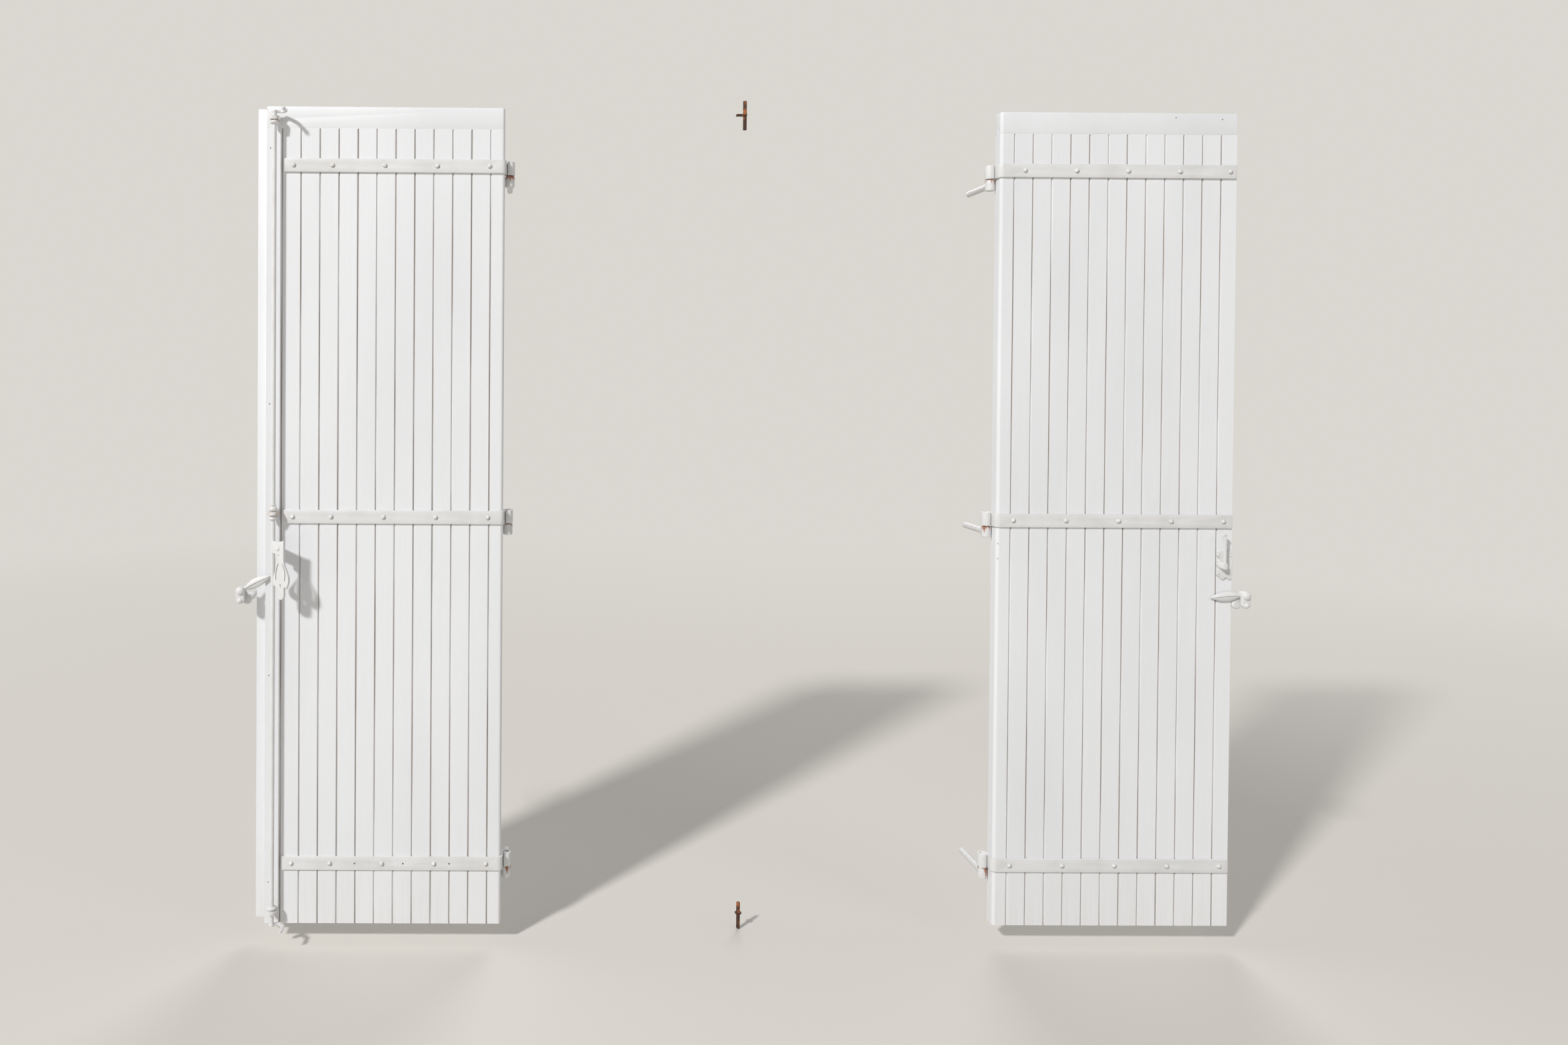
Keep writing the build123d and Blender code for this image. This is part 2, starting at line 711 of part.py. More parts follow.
def dog_bracket(side):
    """Fixed part of a dog: turned barrel, tail in the wall and the ear behind the blade."""
    x = dog_pivot_x(side) - SIDES[side] * BARREL_IN
    z = DOG_Z - BARREL_DOWN
    ear_y = BLADE_BACK_Y + DOG_FIT
    along = Plane(origin=(x, 0, z), x_dir=(0, 0, 1), z_dir=(-1, 0, 0))
    with BuildPart() as bracket:
        with BuildSketch(along):
            with BuildLine():
                Polyline(
                    (0, ear_y),
                    (BARREL_RING_R - RING_EASE, ear_y),
                    (BARREL_RING_R, ear_y + RING_EASE),
                    (BARREL_RING_R, ear_y + RING_T),
                    *[(BARREL_NECK_R + over, ear_y + behind) for over, behind in NECK_BEADS],
                    (BARREL_NECK_R, BACK_Y),
                    (BARREL_FLARE_R, 0),
                    (TAIL_R, 0),
                    (TAIL_R, DOG_TAIL),
                    (0, DOG_TAIL),
                    close=True,
                )
            make_face()
        revolve(axis=Axis((x, 0, z), (0, 1, 0)))
        with BuildSketch(Plane.XZ.offset(-ear_y)):
            with BuildLine():
                Line((x, z), (dog_pivot_x(side), DOG_Z))
            trace(line_width=2 * BLADE_EYE_R)
            with Locations((dog_pivot_x(side), DOG_Z)):
                Circle(BLADE_EYE_R)
        extrude(amount=-EAR_T)
        with BuildSketch(Plane.XZ.offset(-ear_y)):
            with Locations((dog_pivot_x(side), DOG_Z)):
                Circle(DOG_PIN_R)
        extrude(amount=-EAR_T, mode=Mode.SUBTRACT)
    write(bracket, f"{side}_dog_bracket")


def dog_head(side):
    """Rounded head on the pivot pin, with a large dome above a small one."""
    x = dog_pivot_x(side)
    front_y = BLADE_BACK_Y - BLADE_T - DOG_FIT
    with BuildPart() as head:
        with BuildSketch(Plane.XZ.offset(-front_y)):
            with Locations((x, DOG_Z + HEAD_W / 2 - HEAD_H / 2)):
                SlotOverall(HEAD_H, HEAD_W, rotation=90)
        extrude(amount=HEAD_T)
        chamfer(head.edges().group_by(Axis.Y)[0], HEAD_EASE)
        with BuildSketch(Plane.XZ.offset(HEAD_T - front_y)):
            with Locations((x, DOG_Z)):
                Circle(BIG_DOME_R)
        extrude(amount=BIG_DOME_T, taper=DOME_TAPER)
        with BuildSketch(Plane.XZ.offset(HEAD_T - front_y)):
            with Locations((x, DOG_Z - BARREL_DOWN)):
                Circle(SMALL_DOME_R)
        extrude(amount=SMALL_DOME_T, taper=DOME_TAPER)
        with BuildSketch(Plane.XZ.offset(-front_y)):
            with Locations((x, DOG_Z)):
                Circle(DOG_PIN_R)
        extrude(amount=-(BLADE_T + 2 * DOG_FIT + EAR_T))
    write(head, f"{side}_dog_head")


def dog_blade(side):
    """Turning petal of a dog, creased along its middle, that lies over the leaf."""
    tilt = BLADE_TILT[side]
    toward = cos(radians(tilt)) * -SIDES[side]
    along = Plane(
        origin=(dog_pivot_x(side), BLADE_BACK_Y, DOG_Z),
        x_dir=(toward, 0, sin(radians(tilt))),
        z_dir=(0, -1, 0),
    )
    crossways = Plane(along.origin, x_dir=along.z_dir, z_dir=along.x_dir)
    edge = BLADE_EDGE_T
    with BuildPart() as blade:
        with BuildSketch(along):
            with BuildLine():
                upper = Spline(
                    (BLADE_ROOT, BLADE_ROOT_W / 2),
                    (BLADE_LONG * BLADE_WIDEST, BLADE_W / 2),
                    (BLADE_LONG, 0),
                    tangents=[(1, 0.7), (0.5, -1)],
                )
                mirror(upper, Plane.XZ)
                Line((BLADE_ROOT, BLADE_ROOT_W / 2), (BLADE_ROOT, -BLADE_ROOT_W / 2))
            make_face()
            with Locations((BLADE_ROOT, 0)):
                Rectangle(2 * RIDGE_START, BLADE_ROOT_W)
        extrude(amount=edge)
        with BuildSketch(crossways.offset(BLADE_ROOT + RIDGE_START)):
            with BuildLine():
                Polyline((edge, -RIDGE_W / 2), (BLADE_T, 0), (edge, RIDGE_W / 2), close=True)
            make_face()
        extrude(amount=BLADE_LONG - BLADE_ROOT - RIDGE_START - RIDGE_SHORT)
        with BuildSketch(along):
            Circle(BLADE_EYE_R)
        extrude(amount=BLADE_T)
        with BuildSketch(along):
            Circle(DOG_PIN_R + DOG_FIT)
        extrude(amount=BLADE_T, mode=Mode.SUBTRACT)
    write(blade, f"{side}_dog_blade")


# Keeps in the masonry

def lintel_keep():
    """Pin under the lintel that the upper hook catches."""
    with BuildPart() as pin:
        with BuildSketch(Plane.XY.offset(LEAF_H - KEEP_LINTEL_DOWN)):
            with Locations((KEEP_X, KEEP_Y)):
                Circle(KEEP_R)
        extrude(amount=KEEP_LINTEL_DOWN + KEEP_LINTEL_UP + KEEP_TAIL)
        with BuildSketch(Plane.XY.offset(LEAF_H + KEEP_LINTEL_UP)):
            with Locations((KEEP_X - KEEP_FOOT / 2, KEEP_Y)):
                Rectangle(KEEP_FOOT + 2 * KEEP_R, 2 * KEEP_R + KEEP_FLANGE)
        extrude(amount=KEEP_FOOT_T)
    write(pin, "lintel_keep")


def sill_keep():
    """Pin in the sill that the lower hook catches."""
    with BuildPart() as pin:
        with BuildSketch(Plane.XY.offset(KEEP_SILL_UP)):
            with Locations((KEEP_X, KEEP_Y)):
                Circle(KEEP_R)
        extrude(amount=-(KEEP_SILL_UP + KEEP_SILL_DOWN + KEEP_TAIL))
        with BuildSketch(Plane.XY.offset(-KEEP_SILL_DOWN)):
            with Locations((KEEP_X, KEEP_Y)):
                Circle(KEEP_R + KEEP_FLANGE)
        extrude(amount=KEEP_FOOT_T)
    write(pin, "sill_keep")


for side in SIDES:
    for number in range(1, BOARDS + 1):
        board(side, number)
    top_rail(side)
    for name in STRAPS:
        strap(side, name)
        pintle(side, name)
    rivets(side)
    washer(side)
    dog_bracket(side)
    dog_head(side)
    dog_blade(side)
cover_batten()
batten_nails()
rod()
bolt_hook(HOOK_TOP_Z, "top_hook")
bolt_hook(HOOK_LOW_Z, "bottom_hook")
for name in GUIDE_HEIGHTS:
    rod_guide(name)
handle()
handle_rivet()
keeper()
keeper_screws()
lintel_keep()
sill_keep()
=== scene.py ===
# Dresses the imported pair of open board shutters: brushed white paint on timber and iron,
# turned knobs on the bolt rod, hammered rivet ends, petals and heads of the wall dogs,
# rust where the hinge pins work, and a plain pale stage.
import math
import random
from functools import partial, reduce

import bmesh
import bpy
from bpy.props import FloatProperty, FloatVectorProperty, IntProperty, PointerProperty
from mathutils import Matrix, Vector


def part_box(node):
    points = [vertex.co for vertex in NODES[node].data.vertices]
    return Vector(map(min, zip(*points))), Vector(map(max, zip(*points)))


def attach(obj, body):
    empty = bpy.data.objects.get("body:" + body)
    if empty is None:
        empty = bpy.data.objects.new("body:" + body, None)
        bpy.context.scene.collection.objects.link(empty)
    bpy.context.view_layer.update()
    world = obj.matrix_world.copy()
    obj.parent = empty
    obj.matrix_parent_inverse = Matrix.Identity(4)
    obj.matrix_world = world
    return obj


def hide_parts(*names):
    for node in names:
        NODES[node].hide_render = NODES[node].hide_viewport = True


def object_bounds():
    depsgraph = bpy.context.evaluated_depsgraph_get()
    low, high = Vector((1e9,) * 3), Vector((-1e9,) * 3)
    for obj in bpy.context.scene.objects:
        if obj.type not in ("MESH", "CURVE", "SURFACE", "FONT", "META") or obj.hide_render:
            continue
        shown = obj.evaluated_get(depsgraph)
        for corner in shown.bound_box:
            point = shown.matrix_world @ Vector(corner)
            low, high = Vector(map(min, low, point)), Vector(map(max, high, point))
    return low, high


bl_info = {
    "name": "Board shutters",
    "version": (1, 0, 0),
    "blender": (4, 5, 0),
    "location": "3D View > Sidebar > Shutters",
    "description": "Paint, rust and fine ironwork for a pair of open board shutters",
    "category": "Object",
}

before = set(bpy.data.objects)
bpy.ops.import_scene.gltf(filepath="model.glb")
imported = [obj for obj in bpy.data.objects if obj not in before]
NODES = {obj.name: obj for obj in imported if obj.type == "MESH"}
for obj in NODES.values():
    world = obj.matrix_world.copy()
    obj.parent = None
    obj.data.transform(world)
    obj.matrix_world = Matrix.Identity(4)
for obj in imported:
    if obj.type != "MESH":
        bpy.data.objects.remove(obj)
CAD_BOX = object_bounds()

SIDES = {"left": -1, "right": 1}
HEIGHTS = ("bottom", "middle", "top")
MM = 0.001
FORWARD = Vector((0, -1, 0))
BACKWARD = Vector((0, 1, 0))
UP = Vector((0, 0, 1))

# Places read from the imported parts, in metres
RAIL_LOW, RAIL_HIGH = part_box("left_top_rail")
FRONT_Y = RAIL_LOW.y
BACK_Y = RAIL_HIGH.y
HINGE_EDGE = -RAIL_HIGH.x
FREE_EDGE = -RAIL_LOW.x
ROD_LOW, ROD_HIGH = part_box("bolt_rod")
GUIDES = {name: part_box(f"{name}_rod_guide") for name in HEIGHTS}
ROD_X = (GUIDES["top"][0].x + GUIDES["top"][1].x) / 2
ROD_Y = GUIDES["top"][0].y + (GUIDES["top"][1].x - GUIDES["top"][0].x) / 2
ROD_AXIS = Vector((ROD_X, ROD_Y, 0))

# The handle and its lug stand off the rod at this angle to the leaf
HANDLE_TURN = math.radians(38)
HANDLE_OUT = Vector((math.cos(HANDLE_TURN), -math.sin(HANDLE_TURN), 0))
HANDLE_NORMAL = Vector((-math.sin(HANDLE_TURN), -math.cos(HANDLE_TURN), 0))


def metres(lengths, start=0.0):
    """Lengths in millimetres turned to metres, from a start."""
    return [start + length * MM for length in lengths]


def guide_height(name):
    """Height of a rod guide's middle."""
    low, high = GUIDES[name]
    return (low.z + high.z) / 2


# Settings

def linear(colour):
    """Linear RGBA of an sRGB hex colour."""
    parts = [int(colour[i:i + 2], 16) / 255 for i in (1, 3, 5)]
    return (*[p / 12.92 if p <= 0.04045 else ((p + 0.055) / 1.055) ** 2.4 for p in parts], 1.0)


def colour_setting(name, text, colour):
    """A colour that a user may change."""
    return FloatVectorProperty(
        name=name, description=text, default=linear(colour), size=4, min=0, max=1, subtype="COLOR"
    )


def length_setting(name, text, millimetres):
    """A length that a user may change."""
    return FloatProperty(
        name=name, description=text, default=millimetres * MM, min=0, unit="LENGTH", precision=5
    )


class ShutterPaint(bpy.types.PropertyGroup):
    """Colours of the paint and of what shows through it."""

    boards: colour_setting("Boards", "White paint on the timber", "#E5E6E8")
    boards_shade: colour_setting(
        "Boards, greyed", "The same paint where weather has dulled it", "#DFE0E2"
    )
    iron: colour_setting("Iron", "White paint on the ironwork", "#DCDCDC")
    iron_shade: colour_setting(
        "Iron, greyed", "The same paint in its thin and dusty places", "#D2D1CF"
    )
    # This colour also paints the shadow under each rivet, together with the dirt there
    dirt_and_shadow: colour_setting("Dirt", "Dust and dirt in the grooves", "#A79F95")
    deep_dirt: colour_setting("Deep dirt", "The dark line where two boards meet", "#5A5148")
    stain: colour_setting("Stain", "Brown stain where the rod rubs in its eyes", "#B59478")
    bare_wood: colour_setting("Bare wood", "Old primer and wood in a chip", "#C9B187")
    rust: colour_setting("Rust", "Fresh orange rust", "#B4693A")
    old_rust: colour_setting("Old rust", "Dark rust on bare iron", "#4A3225")


class ShutterSizes(bpy.types.PropertyGroup):
    """Sizes of the small forms that the paint rounds off."""

    strap_edge: length_setting("Strap edge", "Rounding of the straps' edges and the lug", 1.1)
    forged_edge: length_setting("Forged edge", "Rounding of the guides", 1.7)
    hook_edge: length_setting("Hook edge", "Rounding of the bolt rod's hooks", 2.8)
    cast_edge: length_setting(
        "Cast edge", "Rounding of handle, pintles, keeps and dogs' barrels", 1.2
    )
    keeper_edge: length_setting(
        "Keeper edge", "Rounding of the keeper's thin plate and finger", 0.9
    )
    head_edge: length_setting("Dog head edge", "Rounding of the dogs' heads", 3.0)
    washer_edge: length_setting("Washer edge", "Rounding of the washers", 0.5)
    wood_edge: length_setting("Wood edge", "Rounding of rail and batten", 1.0)
    hammer_marks: length_setting("Hammer marks", "Depth of the marks on the rivet ends", 1.4)
    rivet_radius: length_setting("Rivet end", "Radius of a rivet's hammered end", 5.6)
    turning_steps: IntProperty(
        name="Turning steps", description="Faces round a turned piece", default=40, min=12, max=96
    )


# Marks on the paint, in metres unless a comment says otherwise

FIRST_GROOVE = 37 * MM
GROOVE_APART = 50 * MM
DUST_TOP = 0.20
NAIL_HOLES = [
    (1.1205, FRONT_Y, 2.153),
    (1.2440, FRONT_Y, 2.149),
    (0.6600, FRONT_Y, 1.020),
    (0.6600, FRONT_Y, 0.980),
]
WOOD_CHIPS = [(-1.2815, FRONT_Y, 2.158), (0.6580, FRONT_Y, 1.016), (0.6580, FRONT_Y, 0.976)]
STRAP_THICK = 5 * MM
STRAP_FRONT = FRONT_Y - STRAP_THICK
BOTTOM_STRAP_Z = 0.162
STRAP_HOLES = [
    (-place, STRAP_FRONT, BOTTOM_STRAP_Z) for place in metres((388, 260, 137), HINGE_EDGE)
]


def rivet_places(side, height):
    """Distances of a strap's rivets from the hinge edge, in millimetres."""
    if side == "left":
        return (40, 178, 316, 454, 556)
    return (63, 200, 337, 474, 608) if height == "top" else (42, 182, 322, 462, 602)


def rivet_centres(side, height):
    """Middles of a strap's rivets, on its front face."""
    low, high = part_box(f"{side}_{height}_strap")
    return [
        Vector((SIDES[side] * place, STRAP_FRONT, (low.z + high.z) / 2))
        for place in metres(rivet_places(side, height), HINGE_EDGE)
    ]


# Dirt and a painted shadow lie a little below each rivet, on the side away from the light
FOOT_SHADOW_SHIFT = Vector((1.4, 0, -1.6)) * MM
RIVET_FEET = [
    tuple(centre + FOOT_SHADOW_SHIFT)
    for side in SIDES for height in HEIGHTS for centre in rivet_centres(side, height)
]


# Nodes

# A Mapping node draws a pattern out along an axis where its scale is below 1. A Map Range node
# takes a value, the two ends between which it counts, and what they become, which is 0 and 1
# where nothing is said.
MAPPING, NOISE, RANGE = "ShaderNodeMapping", "ShaderNodeTexNoise", "ShaderNodeMapRange"
MATH, VECTOR = "ShaderNodeMath", "ShaderNodeVectorMath"
MIX, BUMP, SPLIT = "ShaderNodeMix", "ShaderNodeBump", "ShaderNodeSeparateXYZ"

# A Mix node for colours: its sockets for the share, the colour under and the one laid over it
SHARE, UNDER, OVER = 0, 6, 7
COLOURS = {"out": 2, "data_type": "RGBA"}


def add(tree, kind, sockets=(), out=0, **settings):
    """Adds a node, sets or links its sockets, and gives back one of its outputs."""
    node = tree.nodes.new(kind)
    for key, value in settings.items():
        setattr(node, key, value)
    for key, value in sockets.items() if isinstance(sockets, dict) else enumerate(sockets):
        if isinstance(value, bpy.types.NodeSocket):
            tree.links.new(value, node.inputs[key])
        else:
            node.inputs[key].default_value = value
    return node.outputs[out]


def per_metre(width):
    """Noise scale whose features are about that many millimetres wide."""
    return 1000 / width


def begin(name):
    """A new material, its tree and shader, object coordinates, and the adder of its nodes."""
    material = bpy.data.materials.new(name)
    material.use_nodes = True
    tree = material.node_tree
    node = partial(add, tree)
    place = node("ShaderNodeTexCoord", out="Object")
    return material, tree, tree.nodes["Principled BSDF"], place, node


def coat(tree, shader, colour, roughness, normal):
    """Links a finished pattern to the shader."""
    tree.links.new(colour, shader.inputs["Base Color"])
    tree.links.new(roughness, shader.inputs["Roughness"])
    tree.links.new(normal, shader.inputs["Normal"])


def least(node, values):
    """The smallest of several values at each point."""
    return reduce(lambda one, other: node(MATH, (one, other), operation="MINIMUM"), values)


def spots(node, place, centres, radius, soft):
    """Round marks about the given points: 1 inside the radius and 0 beyond its soft rim."""
    gaps = (node(VECTOR, (place, centre), out="Value", operation="DISTANCE") for centre in centres)
    return node(RANGE, (least(node, gaps), radius + soft, radius))


def bands(node, height, lines, reach, core):
    """Level bands about the given heights: 1 within a core and 0 a reach away."""
    offsets = (node(MATH, (height, line), operation="SUBTRACT") for line in lines)
    gaps = (node(MATH, (offset,), operation="ABSOLUTE") for offset in offsets)
    return node(RANGE, (least(node, gaps), reach, core))


# Materials

BOARD_PAINT = "brushed_paint_on_boards"
STRAP_PAINT = "brushed_paint_on_straps"
FORGED_PAINT = "thick_paint_on_forgings"
ROD_PAINT = "rubbed_paint_on_rod"
PINTLE_PAINT = "rubbed_paint_on_pintles"
KEEP_RUST = "rusted_keep_iron"

# On the boards, in millimetres: widths of the greyed clouds, brush lines, raised fibres, patches
# of dirt and ragged rims, which also stray by that much, depths of the brush lines and fibres,
# and radius and soft rim of the nail holes and chips. Real brush lines are about 0.5 apart;
# these are coarse enough to show.
BOARD_CLOUDS, BRUSH_LINES, FIBRES, DIRT_PATCHES, RAGGED_RIMS = 240, 2.2, 7, 60, 9
BRUSH_DEPTH, FIBRE_DEPTH = 0.10, 0.22
NAIL_HOLE, WOOD_CHIP = (1.5, 0.6), (5, 1)
# Dirt in a groove, in millimetres: between which depths it gathers, between which it stops at
# the tongue, and half its width and that of the dark joint, each from its rim to where it is full
DIRT_GATHERS, DIRT_STOPS = (0.15, 1.6), (3.4, 3.2)
DIRT_WIDTH, JOINT_WIDTH = (3.2, 2.6), (0.9, 0.35)


# Alkyd paint brushed on planed softwood. It gives an even satin white, with faint upright
# brush lines, a little greying in clouds, and grooves whose dirt draws a dark line.
def painted_boards(name, paint):
    material, tree, shader, place, node = begin(name)
    x, y, z = (node(SPLIT, (place,), out=axis) for axis in "XYZ")
    tall = node(MAPPING, {"Vector": place, "Scale": (1, 1, 0.35)})
    clouds = node(NOISE, {"Vector": tall, "Scale": per_metre(BOARD_CLOUDS), "Detail": 4})
    upright = node(MAPPING, {"Vector": place, "Scale": (1, 1, 0.012)})
    brush = node(NOISE, {"Vector": upright, "Scale": per_metre(BRUSH_LINES), "Detail": 2})
    grown = node(MAPPING, {"Vector": place, "Scale": (1, 1, 0.03)})
    fibre = node(NOISE, {"Vector": grown, "Scale": per_metre(FIBRES), "Detail": 3})
    greyed = node(RANGE, (clouds, 0.40, 0.70))
    colour = node(MIX, {SHARE: greyed, UNDER: paint.boards, OVER: paint.boards_shade}, **COLOURS)
    lines = node(RANGE, (brush, 0.56, 0.74, 0, 0.30))
    colour = node(MIX, {SHARE: lines, UNDER: colour, OVER: paint.boards_shade}, **COLOURS)

    # A breath of splashed dust at the feet
    low = node(RANGE, (z, DUST_TOP, 0))
    dusty = node(RANGE, (fibre, 0.42, 0.62, 0.01, 0.09))
    dusty = node(MATH, (low, dusty), operation="MULTIPLY")
    colour = node(MIX, {SHARE: dusty, UNDER: colour, OVER: paint.bare_wood}, **COLOURS)

    # Dirt in the V grooves, patchy along them and darkest in the joint
    across = node(MATH, (x,), operation="ABSOLUTE")
    across = node(MATH, (across, HINGE_EDGE + FIRST_GROOVE), operation="SUBTRACT")
    near = node(MATH, (across, GROOVE_APART / 2), operation="PINGPONG")
    sunk = node(RANGE, (y, *metres(DIRT_GATHERS, FRONT_Y)))
    shallow = node(RANGE, (y, *metres(DIRT_STOPS, FRONT_Y)))
    inside = node(MATH, (sunk, shallow), operation="MULTIPLY")
    narrow = node(RANGE, (near, *metres(DIRT_WIDTH)))
    inside = node(MATH, (inside, narrow), operation="MULTIPLY")
    drawn = node(MAPPING, {"Vector": place, "Scale": (1, 1, 0.12)})
    patchy = node(NOISE, {"Vector": drawn, "Scale": per_metre(DIRT_PATCHES), "Detail": 4})
    patchy = node(RANGE, (patchy, 0.35, 0.62, 0.15, 0.70))
    dirty = node(MATH, (inside, patchy), operation="MULTIPLY")
    colour = node(MIX, {SHARE: dirty, UNDER: colour, OVER: paint.dirt_and_shadow}, **COLOURS)
    joint = node(RANGE, (near, *metres(JOINT_WIDTH)))
    joint = node(MATH, (dirty, joint), operation="MULTIPLY")
    colour = node(MIX, {SHARE: joint, UNDER: colour, OVER: paint.deep_dirt}, **COLOURS)

    # Old nail holes, and chips with ragged rims
    holes = spots(node, place, NAIL_HOLES, *metres(NAIL_HOLE))
    holes = node(MATH, (holes, 0.85), operation="MULTIPLY")
    colour = node(MIX, {SHARE: holes, UNDER: colour, OVER: paint.deep_dirt}, **COLOURS)
    ragged = node(NOISE, {"Vector": place, "Scale": per_metre(RAGGED_RIMS), "Detail": 4})
    ragged = node(MATH, (ragged, RAGGED_RIMS * MM), operation="MULTIPLY")
    ragged = node(VECTOR, (place, ragged), operation="ADD")
    chips = spots(node, ragged, WOOD_CHIPS, *metres(WOOD_CHIP))
    chips = node(MATH, (chips, 0.8), operation="MULTIPLY")
    colour = node(MIX, {SHARE: chips, UNDER: colour, OVER: paint.bare_wood}, **COLOURS)

    normal = node(BUMP, {"Height": brush, "Distance": BRUSH_DEPTH * MM})
    normal = node(BUMP, {"Height": fibre, "Distance": FIBRE_DEPTH * MM, "Normal": normal})
    coat(tree, shader, colour, node(RANGE, (clouds, 0.3, 0.7, 0.56, 0.68)), normal)
    return material


# On the ironwork, in millimetres: widths of the paint's lumps, brush strokes, clouds, stains and
# chips, depths of the lumps, strokes and chips, reach and core of a stain about a guide, depths
# in front of a strap between which a rivet's dirt and painted shadow start, and radius and soft
# rim of that dirt and shadow and of the dark holes
LUMPS, STROKES, IRON_CLOUDS, STAINS, CHIPS = 16, 2.6, 70, 9, 6.5
LUMP_DEPTH, STROKE_DEPTH, CHIP_DEPTH = 0.40, 0.10, 0.12
STAIN_REACH = (15, 6)
FOOT_STARTS, RIVET_FOOT, STRAP_HOLE = (-1.8, -0.9), (5.4, 1.4), (2.0, 0.7)
# Noise above which a rim of primer and then bare metal shows, where no more chips are asked for
CHIP_RIM, CHIP_BARE = (0.725, 0.745), (0.745, 0.775)


# Thick alkyd paint on wrought iron, put on with a brush in many coats. It gives a satin white
# that rounds every edge and rolls a little, with pinhead chips down to rust, brown stains where
# the rod rubs in its eyes, and dirt with a painted shadow about the feet of the rivets, set below
# them on the side away from the light.
def painted_iron(name, paint, chipped=0.0, rubs=(), feet=(), holes=()):
    material, tree, shader, place, node = begin(name)
    lumps = node(NOISE, {"Vector": place, "Scale": per_metre(LUMPS), "Detail": 3})
    drawn = node(MAPPING, {"Vector": place, "Scale": (0.25, 1, 1)})
    strokes = node(NOISE, {"Vector": drawn, "Scale": per_metre(STROKES), "Detail": 2})
    clouds = node(NOISE, {"Vector": place, "Scale": per_metre(IRON_CLOUDS), "Detail": 3})
    greyed = node(RANGE, (clouds, 0.42, 0.68, 0, 0.75))
    colour = node(MIX, {SHARE: greyed, UNDER: paint.iron, OVER: paint.iron_shade}, **COLOURS)

    # Dirt at each rivet's foot with a painted shadow, set below it on the side away from the light
    if feet:
        y = node(SPLIT, (place,), out="Y")
        at_face = node(RANGE, (y, *metres(FOOT_STARTS, STRAP_FRONT)))
        grime_and_shadow = spots(node, place, feet, *metres(RIVET_FOOT))
        grime_and_shadow = node(MATH, (grime_and_shadow, at_face), operation="MULTIPLY")
        streaky = node(RANGE, (strokes, 0.3, 0.6, 0.6, 0.95))
        grime_and_shadow = node(MATH, (grime_and_shadow, streaky), operation="MULTIPLY")
        colour = node(MIX, {SHARE: grime_and_shadow, UNDER: colour, OVER: paint.dirt_and_shadow}, **COLOURS)
    if rubs:
        z = node(SPLIT, (place,), out="Z")
        stain = node(NOISE, {"Vector": place, "Scale": per_metre(STAINS), "Detail": 4})
        stain = node(RANGE, (stain, 0.44, 0.66, 0, 0.85))
        rubbed = bands(node, z, rubs, *metres(STAIN_REACH))
        stain = node(MATH, (stain, rubbed), operation="MULTIPLY")
        colour = node(MIX, {SHARE: stain, UNDER: colour, OVER: paint.stain}, **COLOURS)

    grit = {"Vector": place, "Scale": per_metre(CHIPS), "Detail": 5, "Roughness": 0.62}
    grit = node(NOISE, grit)
    rim = node(RANGE, (grit, *(level - chipped for level in CHIP_RIM), 0, 0.5))
    colour = node(MIX, {SHARE: rim, UNDER: colour, OVER: paint.bare_wood}, **COLOURS)
    chips = node(RANGE, (grit, *(level - chipped for level in CHIP_BARE)))
    fresh = node(RANGE, (lumps, 0.4, 0.6))
    bare = node(MIX, {SHARE: fresh, UNDER: paint.old_rust, OVER: paint.rust}, **COLOURS)
    colour = node(MIX, {SHARE: chips, UNDER: colour, OVER: bare}, **COLOURS)
    if holes:
        dark = spots(node, place, holes, *metres(STRAP_HOLE))
        dark = node(MATH, (dark, 0.95), operation="MULTIPLY")
        colour = node(MIX, {SHARE: dark, UNDER: colour, OVER: paint.deep_dirt}, **COLOURS)

    whole = node(MATH, (1, chips), operation="SUBTRACT")
    normal = node(BUMP, {"Height": lumps, "Distance": LUMP_DEPTH * MM})
    normal = node(BUMP, {"Height": strokes, "Distance": STROKE_DEPTH * MM, "Normal": normal})
    normal = node(BUMP, {"Height": whole, "Distance": CHIP_DEPTH * MM, "Normal": normal})
    coat(tree, shader, colour, node(RANGE, (chips, 0, 1, 0.48, 0.80)), normal)
    return material


# On the pintles, in millimetres: widths of the paint's lumps, the rust's runs and its crust,
# depths of lumps and crust, how far above a strap's lower edge the rust starts, the longest
# run, the drop under which a point counts as above the joint, between which drops a run thins
# out, and between which depths it stops short of the wall
WORN_LUMPS, RUST_RUNS, CRUST = 8, 9, 4
WORN_DEPTH, CRUST_DEPTH = 0.5, 0.08
JOINT_RISE, LONGEST_RUN, LEAST_DROP = 1, 40, 0.1
RUN_THINS = (2, 32)
RUN_STOPS = (-4, -9)


